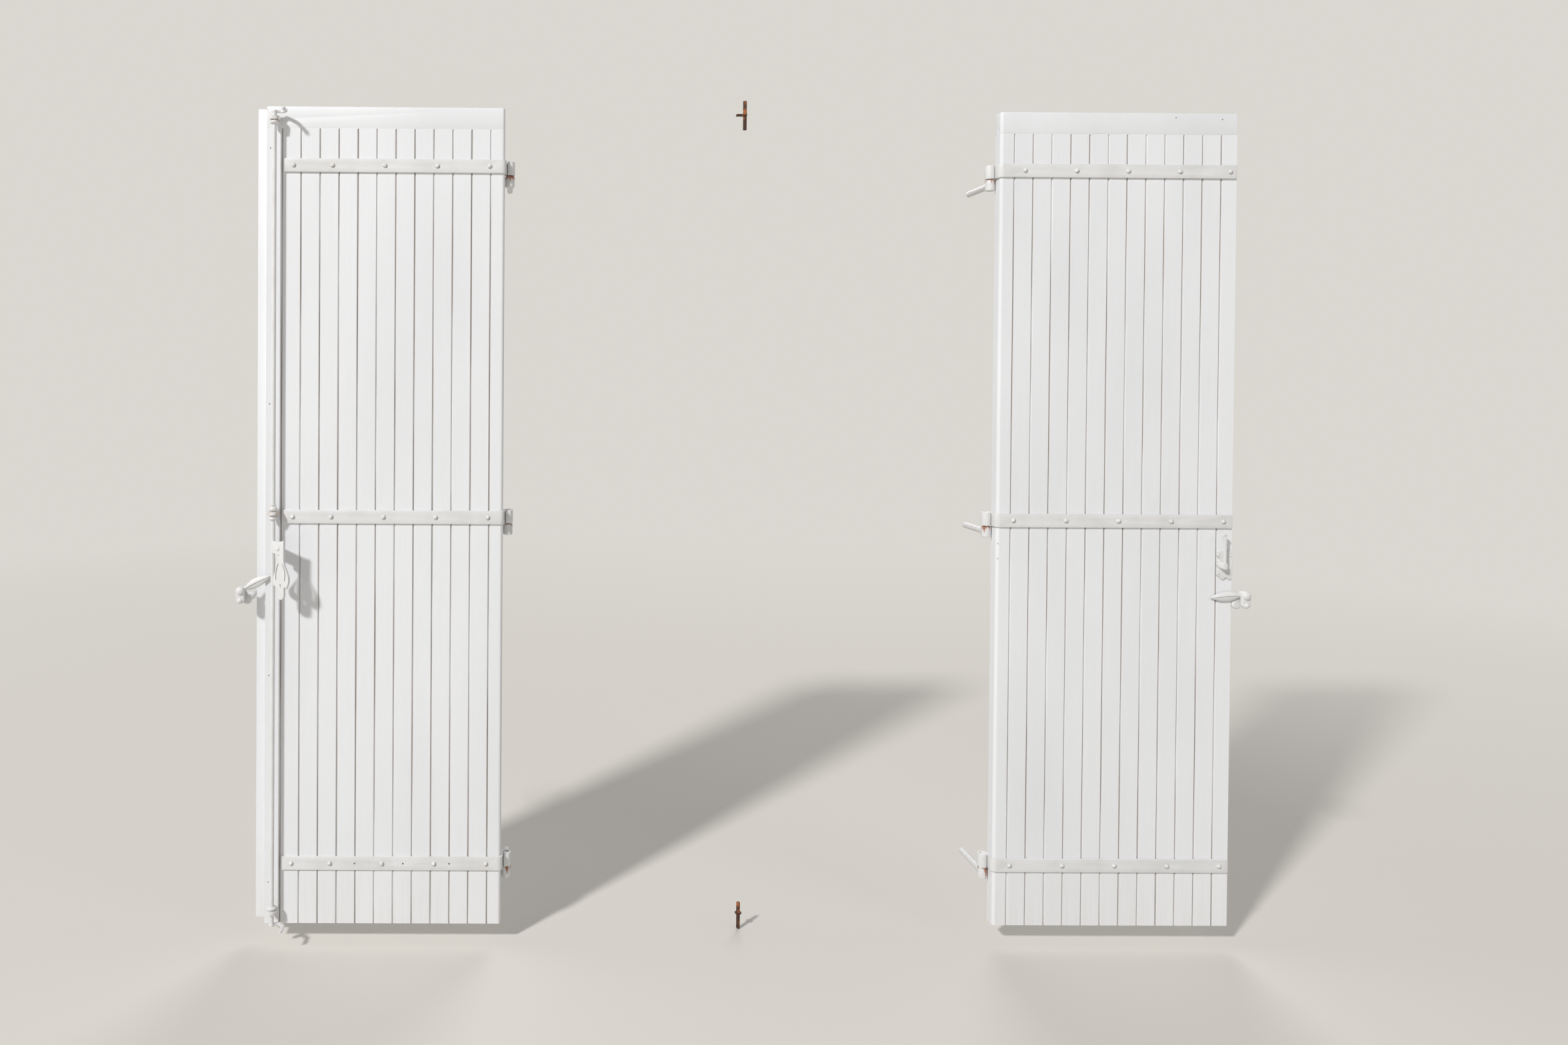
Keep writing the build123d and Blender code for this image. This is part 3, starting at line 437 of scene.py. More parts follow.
# Painted wrought iron where a strap's eye turns on the pintle. The paint is rubbed off at the
# joint, and rust has run down from it in thin streaks.
def working_iron(name, paint):
    material, tree, shader, place, node = begin(name)
    y, z = (node(SPLIT, (place,), out=axis) for axis in "YZ")
    lumps = node(NOISE, {"Vector": place, "Scale": per_metre(WORN_LUMPS), "Detail": 4})
    greyed = node(RANGE, (lumps, 0.4, 0.65, 0, 0.8))
    colour = node(MIX, {SHARE: greyed, UNDER: paint.iron, OVER: paint.iron_shade}, **COLOURS)

    # How far a point is below the joint over it. For a joint that is under the point, a whole
    # metre is added, so that joint doesn't count.
    drops = []
    for height in HEIGHTS:
        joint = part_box(f"left_{height}_strap")[0].z + JOINT_RISE * MM
        drop = node(MATH, (joint, z), operation="SUBTRACT")
        drop = node(RANGE, (drop, 0, LONGEST_RUN * MM, 0, LONGEST_RUN * MM))
        above = node(MATH, (drop, LEAST_DROP * MM), operation="LESS_THAN")
        drops.append(node(MATH, (drop, above), operation="ADD"))
    below = least(node, drops)

    run_down = node(MAPPING, {"Vector": place, "Scale": (1, 1, 0.12)})
    runs = node(NOISE, {"Vector": run_down, "Scale": per_metre(RUST_RUNS), "Detail": 3})
    needed = node(RANGE, (below, *metres(RUN_THINS), 0.38, 0.78))
    rusty = node(MATH, (runs, needed), operation="SUBTRACT")
    rusty = node(RANGE, (rusty, 0, 0.16, 0, 0.9))
    outside = node(RANGE, (y, *metres(RUN_STOPS)))
    rusty = node(MATH, (rusty, outside), operation="MULTIPLY")
    crust = node(NOISE, {"Vector": place, "Scale": per_metre(CRUST), "Detail": 4})
    dark = node(RANGE, (crust, 0.40, 0.62))
    dark = node(MATH, (rusty, dark), operation="MULTIPLY")
    colour = node(MIX, {SHARE: rusty, UNDER: colour, OVER: paint.rust}, **COLOURS)
    colour = node(MIX, {SHARE: dark, UNDER: colour, OVER: paint.old_rust}, **COLOURS)
    normal = node(BUMP, {"Height": lumps, "Distance": WORN_DEPTH * MM})
    normal = node(BUMP, {"Height": crust, "Distance": CRUST_DEPTH * MM, "Normal": normal})
    coat(tree, shader, colour, node(RANGE, (rusty, 0, 1, 0.42, 0.8)), normal)
    return material


# On the keeps, in millimetres: widths and depths of the pits and of the orange patches
PITS, PIT_DEPTH = 3.2, 0.6
PATCHES, PATCH_DEPTH = 16, 0.8
RUST_METALLIC = 0.25


# Wrought iron left to rust in the weather. It gives a dull dark brown, pitted, with orange
# patches.
def bare_rust(name, paint):
    material, tree, shader, place, node = begin(name)
    pits = {"Vector": place, "Scale": per_metre(PITS), "Detail": 5, "Roughness": 0.65}
    pits = node(NOISE, pits)
    patches = node(NOISE, {"Vector": place, "Scale": per_metre(PATCHES), "Detail": 4})
    fresh = node(RANGE, (patches, 0.48, 0.68))
    colour = node(MIX, {SHARE: fresh, UNDER: paint.old_rust, OVER: paint.rust}, **COLOURS)
    deep = node(RANGE, (pits, 0.5, 0.35, 0, 0.7))
    colour = node(MIX, {SHARE: deep, UNDER: colour, OVER: paint.deep_dirt}, **COLOURS)
    normal = node(BUMP, {"Height": pits, "Distance": PIT_DEPTH * MM})
    normal = node(BUMP, {"Height": patches, "Distance": PATCH_DEPTH * MM, "Normal": normal})
    shader.inputs["Metallic"].default_value = RUST_METALLIC
    coat(tree, shader, colour, node(RANGE, (pits, 0, 1, 0.78, 0.92)), normal)
    return material


# Each finish, with the slot that it belongs to and what makes it
FINISHES = {
    BOARD_PAINT: ("painted_wood", painted_boards),
    STRAP_PAINT: ("painted_iron", partial(painted_iron, feet=RIVET_FEET, holes=STRAP_HOLES)),
    FORGED_PAINT: ("painted_iron", partial(painted_iron, chipped=0.01)),
    ROD_PAINT: ("painted_iron", partial(
        painted_iron, chipped=0.04, rubs=[guide_height(name) for name in ("middle", "top")]
    )),
    PINTLE_PAINT: ("painted_pintle", working_iron),
    KEEP_RUST: ("rusty_iron", bare_rust),
}


def finish(name):
    """The material of that name, made the first time that it is asked for."""
    make = FINISHES[name][1]
    return bpy.data.materials.get(name) or make(name, bpy.context.scene.shutter_paint)


# Shaping

# The angles in degrees from which edges look sharp on forged, turned and rounded pieces
FORGED, TURNED, SMOOTH = 35, 40, 50
# How near two points are one, which faces are one flat face, and from which angle an edge of a
# solid is rounded, in metres and degrees
SAME_POINT = 0.002 * MM
SAME_FACE = 0.6
ROUND_FROM = 32
EDGE_STEPS = 3


def finish_piece(shape, node, ending, body, paint, sharp=FORGED):
    """Makes a bmesh the piece that stands for a node, named for it and for how it was made."""
    name = f"{node}_{ending}"
    mesh = bpy.data.meshes.new(name)
    shape.to_mesh(mesh)
    shape.free()
    mesh.shade_smooth()
    mesh.set_sharp_from_angle(angle=math.radians(sharp))
    mesh.materials.append(finish(paint))
    piece = bpy.data.objects.new(name, mesh)
    bpy.context.scene.collection.objects.link(piece)
    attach(piece, body)
    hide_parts(node)


def repaint(node, paint):
    """Gives a node that keeps its own shape another material."""
    materials = NODES[node].data.materials
    materials.clear()
    materials.append(finish(paint))


def rounded(shape, edges, width, steps=EDGE_STEPS):
    """Rounds the given edges of a shape."""
    bmesh.ops.bevel(
        shape, geom=edges, offset=width, offset_type="OFFSET", segments=steps, profile=0.5,
        affect="EDGES", clamp_overlap=True, material=-1, loop_slide=True,
    )


def softened(node, width):
    """Copy of a node's shape, merged, with its edges rounded."""
    shape = bmesh.new()
    shape.from_mesh(NODES[node].data)
    bmesh.ops.remove_doubles(shape, verts=shape.verts, dist=SAME_POINT)
    bmesh.ops.dissolve_limit(
        shape, angle_limit=math.radians(SAME_FACE), use_dissolve_boundaries=False,
        verts=shape.verts, edges=shape.edges, delimit={"NORMAL"},
    )
    corner = math.radians(ROUND_FROM)
    rounded(shape, [
        e for e in shape.edges if len(e.link_faces) == 2 and e.calc_face_angle() > corner
    ], width)
    return shape


def turned(shape, outline, centre, axis, steps):
    """Spins a half outline of (radius, distance along the axis) about the axis at a centre."""
    side = axis.orthogonal().normalized()
    points = [shape.verts.new(centre + side * r + axis * h) for r, h in outline]
    lines = [shape.edges.new(pair) for pair in zip(points, points[1:])]
    bmesh.ops.spin(
        shape, geom=points + lines, cent=centre, axis=axis, dvec=(0, 0, 0),
        angle=math.tau, steps=steps, use_merge=True, use_duplicate=False,
    )
    bmesh.ops.remove_doubles(shape, verts=shape.verts, dist=SAME_POINT)


def pin(radius, long):
    """Half outline of a plain pin."""
    return [(0, 0), (radius, 0), (radius, long), (0, long)]


# A dome's faces round and along, and the hammer: its blows on each rivet end, how far they lean,
# the shares of the full depth between which they fall, and how flat a blow leaves the metal
DOME_STEPS = (18, 12)
BLOWS = 4
BLOW_LEAN = 0.7
BLOW_DEPTHS = (0.5, 1.0)
BLOW_FLATNESS = 0.8


def dome(shape, centre, out, radius, height, marks=0.0, rng=None):
    """Half-buried ball flattened to a low dome, with hammer marks where a rng is given."""
    turn = out.to_track_quat("Z", "Y").to_matrix().to_4x4()
    size = Matrix.Diagonal((1, 1, height / radius, 1))
    ball = bmesh.ops.create_uvsphere(
        shape, u_segments=DOME_STEPS[0], v_segments=DOME_STEPS[1], radius=radius,
        matrix=Matrix.Translation(centre) @ turn @ size,
    )["verts"]
    if rng is None:
        return
    flats = []
    for _ in range(BLOWS):
        lean = [rng.uniform(-BLOW_LEAN, BLOW_LEAN) for _ in "xy"]
        flats.append((Vector((*lean, 1)).normalized(), rng.uniform(*BLOW_DEPTHS)))
    back = turn.inverted()
    for vert in ball:
        local = back @ (vert.co - centre)
        for facing, share in flats:
            over = local.dot(facing) - (height - marks * share)
            if over > 0:
                local -= facing * over * BLOW_FLATNESS
        vert.co = centre + turn @ local


def block(shape, centre, size, turn=Matrix.Identity(4), edge=0.0):
    """Block about a centre, with rounded edges where a width is given."""
    matrix = Matrix.Translation(centre) @ turn @ Matrix.Diagonal((*size, 1))
    corners = set(bmesh.ops.create_cube(shape, size=1, matrix=matrix)["verts"])
    if edge:
        rounded(shape, [e for e in shape.edges if e.verts[0] in corners], edge)


# The pieces

class BuildBoards(bpy.types.Operator):
    """Paint the boards and round the rails and the cover batten"""

    bl_idname = "shutters.boards"
    bl_label = "Boards"

    def execute(self, context):
        for node in NODES:
            if "_board_" in node:
                repaint(node, BOARD_PAINT)
        edge = context.scene.shutter_sizes.wood_edge
        for side, piece in (("left", "top_rail"), ("right", "top_rail"), ("left", "cover_batten")):
            node = f"{side}_{piece}"
            finish_piece(softened(node, edge), node, "planed", f"{side}_leaf", BOARD_PAINT)
        return {"FINISHED"}


class BuildStraps(bpy.types.Operator):
    """Round the strap hinges' edges and paint them"""

    bl_idname = "shutters.straps"
    bl_label = "Strap hinges"

    def execute(self, context):
        edge = context.scene.shutter_sizes.strap_edge
        for side in SIDES:
            for height in HEIGHTS:
                node = f"{side}_{height}_strap"
                finish_piece(softened(node, edge), node, "forged", f"{side}_leaf", STRAP_PAINT)
        return {"FINISHED"}


# In millimetres: a rivet's height inside, its square shank, radius and height of its low head
# outside, and the place from which the other leaf's lip lies over the heads
RIVET_HIGH = 4.8
RIVET_SHANK = 8
OUTER_HEAD = (11, 3.9)
UNDER_LIP = 587
HAMMER_SEED = 11


class BuildRivets(bpy.types.Operator):
    """Hammer the rivets' inner ends, and lay their low heads outside"""

    bl_idname = "shutters.rivets"
    bl_label = "Rivets and nails"

    def execute(self, context):
        sizes = context.scene.shutter_sizes
        rng = random.Random(HAMMER_SEED)
        inner_end = (sizes.rivet_radius, RIVET_HIGH * MM, sizes.hammer_marks, rng)
        shank = (RIVET_SHANK * MM, BACK_Y - STRAP_FRONT, RIVET_SHANK * MM)
        for side in SIDES:
            shape = bmesh.new()
            for height in HEIGHTS:
                for u, centre in zip(rivet_places(side, height), rivet_centres(side, height)):
                    dome(shape, centre, FORWARD, *inner_end)
                    block(shape, Vector((centre.x, (STRAP_FRONT + BACK_Y) / 2, centre.z)), shank)
                    # The right leaf's last rivets are flush outside, under the other leaf's lip
                    if side == "left" or u < UNDER_LIP:
                        outer = Vector((centre.x, BACK_Y, centre.z))
                        dome(shape, outer, BACKWARD, *metres(OUTER_HEAD))
            bmesh.ops.recalc_face_normals(shape, faces=shape.faces)
            finish_piece(
                shape, f"{side}_rivets", "hammered", f"{side}_leaf", STRAP_PAINT, SMOOTH
            )
        repaint("left_batten_nails", KEEP_RUST)
        return {"FINISHED"}


class BuildPintles(bpy.types.Operator):
    """Round the wall pintles and washers, with rust at the working joints"""

    bl_idname = "shutters.pintles"
    bl_label = "Pintles and washers"

    def execute(self, context):
        sizes = context.scene.shutter_sizes
        for side in SIDES:
            widths = {f"{side}_{height}_pintle": sizes.cast_edge for height in HEIGHTS}
            widths[f"{side}_washer"] = sizes.washer_edge
            for node, width in widths.items():
                finish_piece(softened(node, width), node, "forged", "wall_iron", PINTLE_PAINT)
        return {"FINISHED"}


# The bolt rod in millimetres: its radius, half a guide's ring with play, and each turned knob's
# guide, start above the guide's middle, length, widest radius and where along it that is
ROD_R = 5.75
RING_HALF = 5.7
KNOBS = (
    ("bottom", RING_HALF, 10, 12.4, 0.55),
    ("middle", -RING_HALF - 12.5, 12.5, 11.4, 0.42),
    ("middle", RING_HALF, 12, 10.9, 0.4),
    ("middle", RING_HALF + 15, 4, 7.6, 0.5),
    ("top", -RING_HALF - 11, 11, 12.2, 0.45),
)
KNOB_STEPS = 12
# Below 1, this makes a knob fuller than a plain wave
KNOB_FULLNESS = 0.62
# The handle's lug in millimetres, how far its middle is out from the rod and in front of it, and
# how far out its rivet is, with the rivet's height in metres
LUG_SIZE = (43, 5, 32)
LUG_OUT = 21.5
LUG_FORWARD = 3.2
HANDLE_PIN_OUT = 33.4
HANDLE_PIN_Z = 1.005


def knob(low, long, widest, fullest):
    """Half outline of a turned knob from a height up, widest at a share of its length."""
    # The power brings the top of the wave, at its half, to the fullest place
    power = math.log(0.5) / math.log(fullest)
    points = []
    for step in range(KNOB_STEPS + 1):
        share = step / KNOB_STEPS
        swell = math.sin(math.pi * share ** power) ** KNOB_FULLNESS
        points.append(((ROD_R + (widest - ROD_R) * swell) * MM, low + long * MM * share))
    return points


class BuildBoltRod(bpy.types.Operator):
    """Turn the bolt rod with its knobs, and round its hooks"""

    bl_idname = "shutters.bolt_rod"
    bl_label = "Bolt rod and hooks"

    def execute(self, context):
        sizes = context.scene.shutter_sizes
        outline = [(0, ROD_LOW.z), (ROD_R * MM, ROD_LOW.z)]
        for guide, start, *form in KNOBS:
            outline += knob(guide_height(guide) + start * MM, *form)
        outline += [(ROD_R * MM, ROD_HIGH.z), (0, ROD_HIGH.z)]
        shape = bmesh.new()
        turned(shape, outline, ROD_AXIS, UP, sizes.turning_steps)
        lug = ROD_AXIS + (HANDLE_OUT * LUG_OUT + HANDLE_NORMAL * LUG_FORWARD) * MM
        lug.z = HANDLE_PIN_Z
        turn = Matrix.Rotation(-HANDLE_TURN, 4, "Z")
        block(shape, lug, metres(LUG_SIZE), turn, sizes.strap_edge)
        bmesh.ops.recalc_face_normals(shape, faces=shape.faces)
        finish_piece(shape, "bolt_rod", "turned", "rod", ROD_PAINT, TURNED)
        for node in ("top_hook", "bottom_hook"):
            finish_piece(softened(node, sizes.hook_edge), node, "forged", "rod", FORGED_PAINT)
        return {"FINISHED"}


class BuildGuides(bpy.types.Operator):
    """Round the three eyes that carry the bolt rod"""

    bl_idname = "shutters.guides"
    bl_label = "Rod guides"

    def execute(self, context):
        edge = context.scene.shutter_sizes.forged_edge
        for height in HEIGHTS:
            node = f"{height}_rod_guide"
            finish_piece(softened(node, edge), node, "forged", "left_leaf", ROD_PAINT)
        return {"FINISHED"}


# Half outline of the rivet that carries the handle: radius, and distance in front of the rod's
# middle, in millimetres
HANDLE_RIVET = (
    (0, -1.5), (4.6, -1.5), (6.1, -0.4), (6.2, 0.7), (3.5, 0.7), (3.5, 12.2), (6.2, 12.3),
    (6.0, 13.4), (4.7, 14.6), (2.6, 15.2), (0, 15.3),
)


class BuildHandle(bpy.types.Operator):
    """Round the openwork handle, and dome the rivet that carries it"""

    bl_idname = "shutters.handle"
    bl_label = "Handle"

    def execute(self, context):
        sizes = context.scene.shutter_sizes
        handle = softened("handle", sizes.cast_edge)
        finish_piece(handle, "handle", "cast", "handle", FORGED_PAINT)
        shape = bmesh.new()
        centre = ROD_AXIS + HANDLE_OUT * HANDLE_PIN_OUT * MM
        centre.z = HANDLE_PIN_Z
        outline = [metres(point) for point in HANDLE_RIVET]
        turned(shape, outline, centre, HANDLE_NORMAL, sizes.turning_steps)
        bmesh.ops.recalc_face_normals(shape, faces=shape.faces)
        finish_piece(shape, "handle_rivet", "domed", "rod", FORGED_PAINT, TURNED)
        return {"FINISHED"}


# The keeper's screws: distance in from the free edge and height, head radius and height,
# shank radius and length, and the plate's thickness, in millimetres
KEEPER_SCREWS = ((38, 994), (7, 991), (37, 944), (8, 943))
SCREW_HEAD = (3.5, 1.8)
SCREW_SHANK = (1.7, 13.5)
KEEPER_PLATE = 4
SCREW_STEPS = 16


class BuildKeeper(bpy.types.Operator):
    """Round the keeper and dome its screws"""

    bl_idname = "shutters.keeper"
    bl_label = "Keeper"

    def execute(self, context):
        keeper = softened("keeper", context.scene.shutter_sizes.keeper_edge)
        finish_piece(keeper, "keeper", "cast", "right_leaf", FORGED_PAINT)
        shape = bmesh.new()
        for inset, z in KEEPER_SCREWS:
            centre = Vector((FREE_EDGE - inset * MM, FRONT_Y - KEEPER_PLATE * MM, z * MM))
            dome(shape, centre, FORWARD, *metres(SCREW_HEAD))
            turned(shape, pin(*metres(SCREW_SHANK)), centre, BACKWARD, SCREW_STEPS)
        bmesh.ops.recalc_face_normals(shape, faces=shape.faces)
        finish_piece(shape, "keeper_screws", "domed", "right_leaf", FORGED_PAINT, TURNED)
        return {"FINISHED"}


# The dogs' heads in millimetres: slab length and thickness, radius and height of each dome, how
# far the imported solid's large dome stands off its slab, how far the small one is below the
# large, the pivot's radius, and how far under the pivot's level the lower half starts
HEAD_LONG = 45
HEAD_THICK = 9
LARGE_DOME = (10.6, 6.2)
SMALL_DOME = (6.6, 4.4)
SOLID_DOME = 5
DOMES_APART = 25
DOG_PIN_R = 4
LOWER_STARTS = 0.1
HEAD_STEPS = 48
HEAD_EDGE_STEPS = 5


def dog_pivot(low, high, y):
    """Middle of the pivot in a dog's head of that box, at a depth."""
    return Vector(((low.x + high.x) / 2, y, high.z - (high.x - low.x) / 2))


def dog_head(side, edge):
    """Rounded slab with a large dome over a small one, and the pivot behind."""
    low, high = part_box(f"{side}_dog_head")
    half = (high.x - low.x) / 2
    pivot = dog_pivot(low, high, low.y + (SOLID_DOME + HEAD_THICK) * MM)
    facing = Matrix.Rotation(math.pi / 2, 4, "X")
    shape = bmesh.new()
    outline = bmesh.ops.create_circle(
        shape, cap_ends=True, segments=HEAD_STEPS, radius=half,
        matrix=Matrix.Translation(pivot) @ facing,
    )["verts"]
    lower = [vert for vert in outline if vert.co.z < pivot.z - LOWER_STARTS * MM]
    bmesh.ops.translate(shape, verts=lower, vec=(0, 0, 2 * half - HEAD_LONG * MM))
    grown = bmesh.ops.extrude_face_region(shape, geom=shape.faces[:])["geom"]
    front = [part for part in grown if isinstance(part, bmesh.types.BMVert)]
    thick = FORWARD * HEAD_THICK * MM
    bmesh.ops.translate(shape, verts=front, vec=thick)
    rim = [e for e in shape.edges if all(vert in front for vert in e.verts)]
    rounded(shape, rim, edge, HEAD_EDGE_STEPS)
    face = pivot + thick
    dome(shape, face, FORWARD, *metres(LARGE_DOME))
    dome(shape, face - UP * DOMES_APART * MM, FORWARD, *metres(SMALL_DOME))
    inside = face - thick / 2
    turned(shape, pin(DOG_PIN_R * MM, high.y - inside.y), inside, BACKWARD, HEAD_STEPS)
    bmesh.ops.recalc_face_normals(shape, faces=shape.faces)
    return shape


# The dogs' petals: the angle above level, and in millimetres the gap to the leaf, the eye's half
# outline and, for each rib, the distance along, half width, height at the edge and height beside
# the crease
TILT = {"left": 26.5, "right": -5.0}
PETAL_GAP = 3
PETAL_EYE = ((4.3, 0.3), (8.2, 0.3), (9, 1.2), (9, 6.2), (8.2, 7.2), (4.3, 7.2), (4.3, 0.3))
PETAL_RIBS = (
    (6, 4.0, 4.0, 6.6), (14, 5.6, 3.8, 7.0), (24, 9.4, 3.2, 7.4), (36, 12.0, 2.8, 7.4),
    (48, 12.4, 2.8, 7.4), (60, 11.0, 2.8, 7.2), (71, 8.0, 3.0, 6.6), (80, 4.6, 3.2, 5.6),
    (85, 2.2, 3.3, 4.6), (87.5, 0.7, 3.4, 3.9),
)
# Share of the half width, and of the rise from the edge, round one rib, and its flat back
PETAL_SECTION = (
    (1, 0), (0.8, 0.42), (0.45, 0.82), (0.13, 1), (0, 0.2),
    (-0.13, 1), (-0.45, 0.82), (-0.8, 0.42), (-1, 0),
)
PETAL_BACK = 0.4
# How the stretches between the ribs are divided and rounded
PETAL_CUTS = 2
PETAL_SMOOTH = 0.9


def dog_petal(side, steps):
    """Leaf-shaped petal, creased along its middle, on a round eye."""
    pivot = dog_pivot(*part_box(f"{side}_dog_head"), FRONT_Y - PETAL_GAP * MM)
    tilt = math.radians(TILT[side])
    along = Vector((-SIDES[side] * math.cos(tilt), 0, math.sin(tilt)))
    across = along.cross(FORWARD)
    shape = bmesh.new()
    rings = []
    for far, half, edge, crest in PETAL_RIBS:
        places = [(half * share, edge + (crest - edge) * rise) for share, rise in PETAL_SECTION]
        places += [(-half, PETAL_BACK), (half, PETAL_BACK)]
        ring = [
            shape.verts.new(pivot + (along * far + across * aside + FORWARD * high) * MM)
            for aside, high in places
        ]
        rings.append([shape.edges.new(pair) for pair in zip(ring, ring[1:] + ring[:1])])
    spans = []
    for lower, upper in zip(rings, rings[1:]):
        spans += bmesh.ops.bridge_loops(shape, edges=lower + upper)["edges"]
    for end in (rings[0], rings[-1]):
        bmesh.ops.contextual_create(shape, geom=end)
    bmesh.ops.recalc_face_normals(shape, faces=shape.faces)
    bmesh.ops.subdivide_edges(
        shape, edges=spans, cuts=PETAL_CUTS, use_grid_fill=True, smooth=PETAL_SMOOTH
    )
    turned(shape, [metres(point) for point in PETAL_EYE], pivot, FORWARD, steps)
    bmesh.ops.recalc_face_normals(shape, faces=shape.faces)
    return shape


class BuildDogs(bpy.types.Operator):
    """Round the dogs' barrels, dome their heads and crease their petals"""

    bl_idname = "shutters.dogs"
    bl_label = "Shutter dogs"

    def execute(self, context):
        sizes = context.scene.shutter_sizes
        for side in SIDES:
            bracket, head, blade = (f"{side}_dog_{part}" for part in ("bracket", "head", "blade"))
            barrel = softened(bracket, sizes.cast_edge)
            finish_piece(barrel, bracket, "cast", "wall_iron", FORGED_PAINT)
            slab = dog_head(side, sizes.head_edge)
            finish_piece(slab, head, "cast", "wall_iron", FORGED_PAINT, SMOOTH)
            petal = dog_petal(side, sizes.turning_steps)
            finish_piece(petal, blade, "creased", f"{side}_dog", FORGED_PAINT, SMOOTH)
        return {"FINISHED"}


class BuildKeeps(bpy.types.Operator):
    """Rust the pins in the lintel and the sill"""

    bl_idname = "shutters.keeps"
    bl_label = "Keeps"

    def execute(self, context):
        edge = context.scene.shutter_sizes.cast_edge
        for node in ("lintel_keep", "sill_keep"):
            finish_piece(softened(node, edge), node, "rusted", "wall_iron", KEEP_RUST)
        return {"FINISHED"}


# The stage

# The room behind, the floor, how far below the iron it lies in millimetres, between which
# distances in metres it runs into the room, and each lamp's name, place, size in metres and
# power in watts
ROOM = "#DAD7D1"
SKY = "#FAFAFA"
SKY_STRENGTH = 0.31
FLOOR = "#D2CEC7"
FLOOR_ROUGHNESS = 0.9
FLOOR_DROP = 2
FLOOR_RADIUS = 40
FLOOR_STEPS = 96
FLOOR_FADE = (2.2, 7.5)
LAMPS = (
    ("key", (-14.0, -14.0, 15.0), 2.0, 4900),
    ("fill", (9.0, -7.0, 5.0), 6.0, 130),
    ("behind", (4.0, 12.0, 9.0), 8.0, 750),
)
AIMED_AT = Vector((0, 0, 1.0))

# The camera's place in metres, its turn, pitch and roll in degrees, lens and film width in
# millimetres, shift that frames the picture, and nearest and farthest sight in metres
CAMERA_PLACE = (-0.6325, -2.8179, 1.4462)
CAMERA_TURNS = (-0.354, -0.633, 0.359)
CAMERA_LENS = 24
CAMERA_FILM = 36
CAMERA_SHIFT = (0.169, -0.0833)
CAMERA_SIGHT = (0.05, 200)


def lay_floor(scene):
    """Round pale floor that runs into the pale room, without a horizon, away from the shutters."""
    shape = bmesh.new()
    level = Matrix.Translation((0, 0, CAD_BOX[0].z - FLOOR_DROP * MM))
    bmesh.ops.create_circle(
        shape, cap_ends=True, segments=FLOOR_STEPS, radius=FLOOR_RADIUS, matrix=level
    )
    mesh = bpy.data.meshes.new("floor")
    shape.to_mesh(mesh)
    shape.free()
    floor = bpy.data.objects.new("floor", mesh)
    scene.collection.objects.link(floor)
    material, tree, shader, place, node = begin("pale_studio_floor")
    shader.inputs["Base Color"].default_value = linear(FLOOR)
    shader.inputs["Roughness"].default_value = FLOOR_ROUGHNESS
    seen = node("ShaderNodeLightPath", out="Is Camera Ray")
    far = node(VECTOR, (place,), out="Value", operation="LENGTH")
    faded = node(RANGE, (far, *FLOOR_FADE))
    faded = node(MATH, (faded, seen), operation="MULTIPLY")
    glow = node("ShaderNodeEmission", (linear(ROOM), 1.0))
    mixed = node("ShaderNodeMixShader", (faded, shader.outputs[0], glow))
    tree.links.new(mixed, tree.nodes["Material Output"].inputs["Surface"])
    mesh.materials.append(material)


def hang_lamps(scene):
    """Soft round lamps aimed at the middle of the shutters."""
    for name, place, size, power in LAMPS:
        data = bpy.data.lights.new(name, "AREA")
        data.shape = "DISK"
        data.size = size
        data.energy = power
        lamp = bpy.data.objects.new(name, data)
        lamp.location = place
        lamp.rotation_euler = (AIMED_AT - Vector(place)).to_track_quat("-Z", "Y").to_euler()
        scene.collection.objects.link(lamp)


def paint_room(scene):
    """World that the camera, gloss and glass see as the pale room, and that lights softly."""
    world = bpy.data.worlds.new("pale_room")
    scene.world = world
    world.use_nodes = True
    tree = world.node_tree
    node = partial(add, tree)
    camera_ray, glossy_ray, clear_ray = (
        node("ShaderNodeLightPath", out=f"Is {kind} Ray")
        for kind in ("Camera", "Glossy", "Transmission")
    )
    pale = node(MATH, (camera_ray, glossy_ray), operation="MAXIMUM")
    pale = node(MATH, (pale, clear_ray), operation="MAXIMUM")
    colour = node(MIX, {SHARE: pale, UNDER: linear(SKY), OVER: linear(ROOM)}, **COLOURS)
    strength = node(RANGE, (pale, 0, 1, SKY_STRENGTH, 1.0))
    background = tree.nodes["Background"]
    tree.links.new(colour, background.inputs["Color"])
    tree.links.new(strength, background.inputs["Strength"])


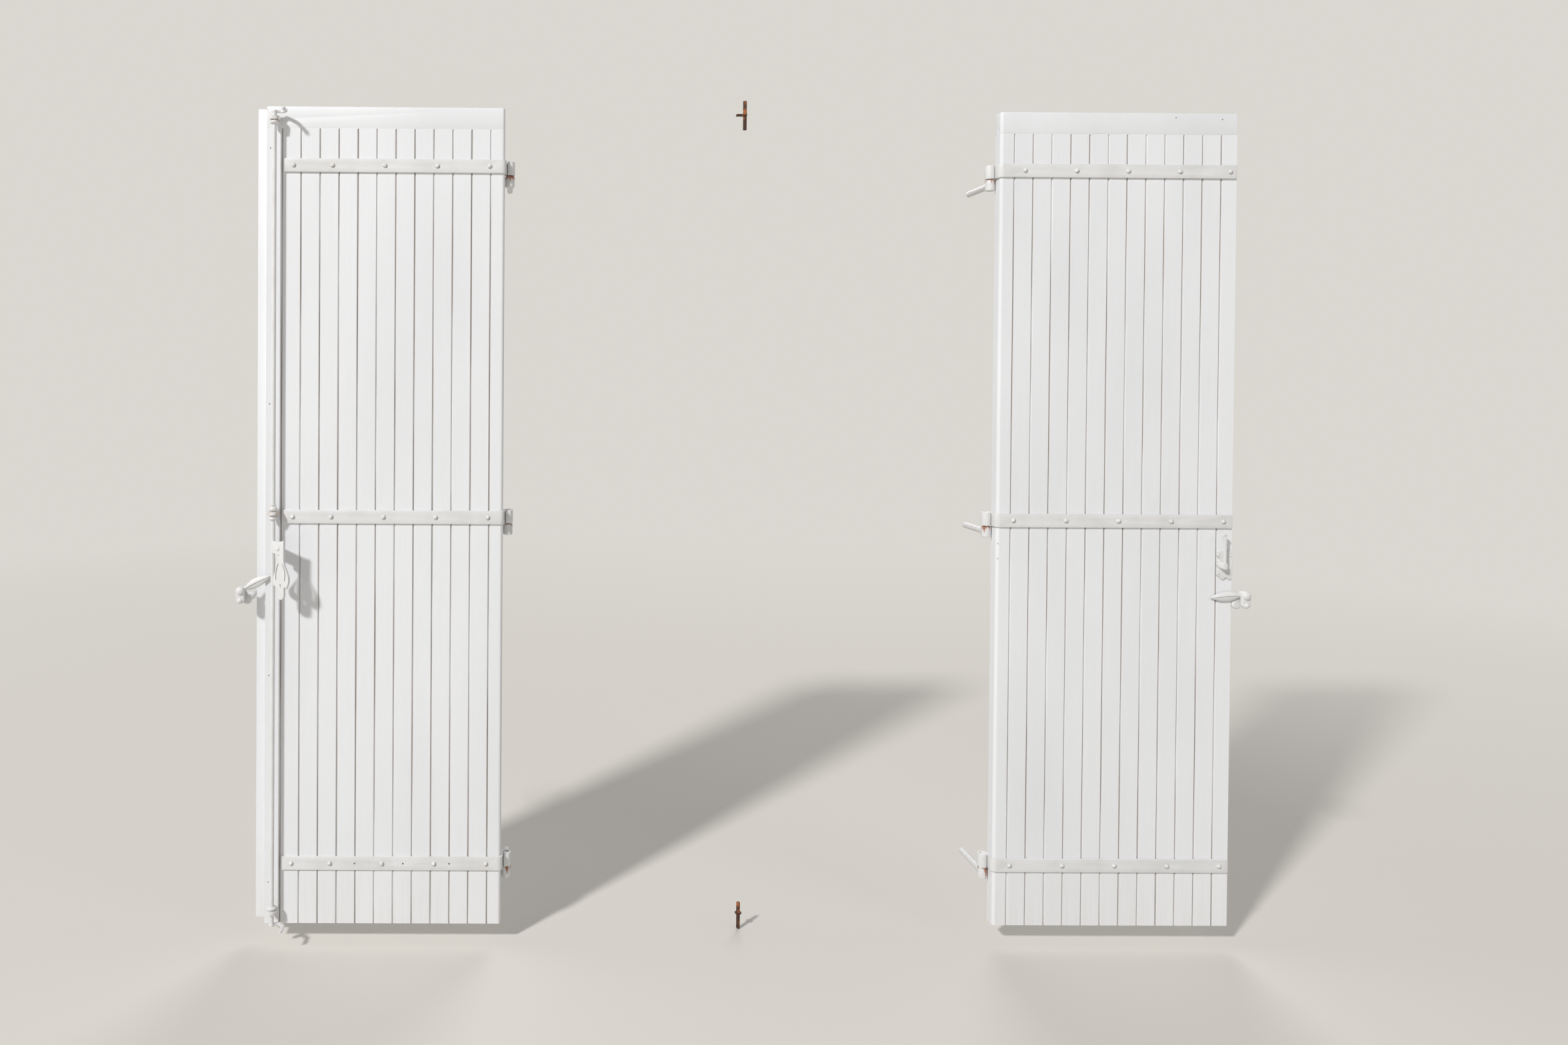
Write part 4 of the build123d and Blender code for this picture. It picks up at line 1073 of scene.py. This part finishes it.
def place_camera(scene):
    """Camera at the picture's angle."""
    data = bpy.data.cameras.new("camera")
    data.sensor_width = CAMERA_FILM
    data.lens = CAMERA_LENS
    data.shift_x, data.shift_y = CAMERA_SHIFT
    data.clip_start, data.clip_end = CAMERA_SIGHT
    camera = bpy.data.objects.new("camera", data)
    scene.collection.objects.link(camera)
    yaw, pitch, roll = (math.radians(turn) for turn in CAMERA_TURNS)
    camera.matrix_world = (
        Matrix.Translation(CAMERA_PLACE)
        @ Matrix.Rotation(yaw, 4, "Z")
        @ Matrix.Rotation(math.pi / 2 + pitch, 4, "X")
        @ Matrix.Rotation(roll, 4, "Z")
    )
    scene.camera = camera


class BuildStage(bpy.types.Operator):
    """Pale floor, soft lamps, world and the camera"""

    bl_idname = "shutters.stage"
    bl_label = "Stage"

    def execute(self, context):
        lay_floor(context.scene)
        hang_lamps(context.scene)
        paint_room(context.scene)
        place_camera(context.scene)
        context.scene.view_settings.view_transform = "Standard"
        return {"FINISHED"}


class ShutterPanel(bpy.types.Panel):
    """Pieces of the shutters"""

    bl_idname = "SHUTTERS_PT_pieces"
    bl_label = "Board shutters"
    bl_space_type = "VIEW_3D"
    bl_region_type = "UI"
    bl_category = "Shutters"

    def draw(self, context):
        for group in (context.scene.shutter_paint, context.scene.shutter_sizes):
            box = self.layout.box()
            for key in group.__annotations__:
                box.prop(group, key)
        for operator in BUILDERS:
            self.layout.operator(operator.bl_idname)


BUILDERS = (
    BuildBoards, BuildStraps, BuildRivets, BuildPintles, BuildBoltRod, BuildGuides, BuildHandle,
    BuildKeeper, BuildDogs, BuildKeeps, BuildStage,
)
CLASSES = (ShutterPaint, ShutterSizes, *BUILDERS, ShutterPanel)


def register():
    for cls in CLASSES:
        bpy.utils.register_class(cls)
    bpy.types.Scene.shutter_paint = PointerProperty(type=ShutterPaint)
    bpy.types.Scene.shutter_sizes = PointerProperty(type=ShutterSizes)


def unregister():
    del bpy.types.Scene.shutter_sizes
    del bpy.types.Scene.shutter_paint
    for cls in reversed(CLASSES):
        bpy.utils.unregister_class(cls)


def main():
    register()
    for operator in BUILDERS:
        group, name = operator.bl_idname.split(".")
        getattr(getattr(bpy.ops, group), name)()


if __name__ == "__main__":
    main()
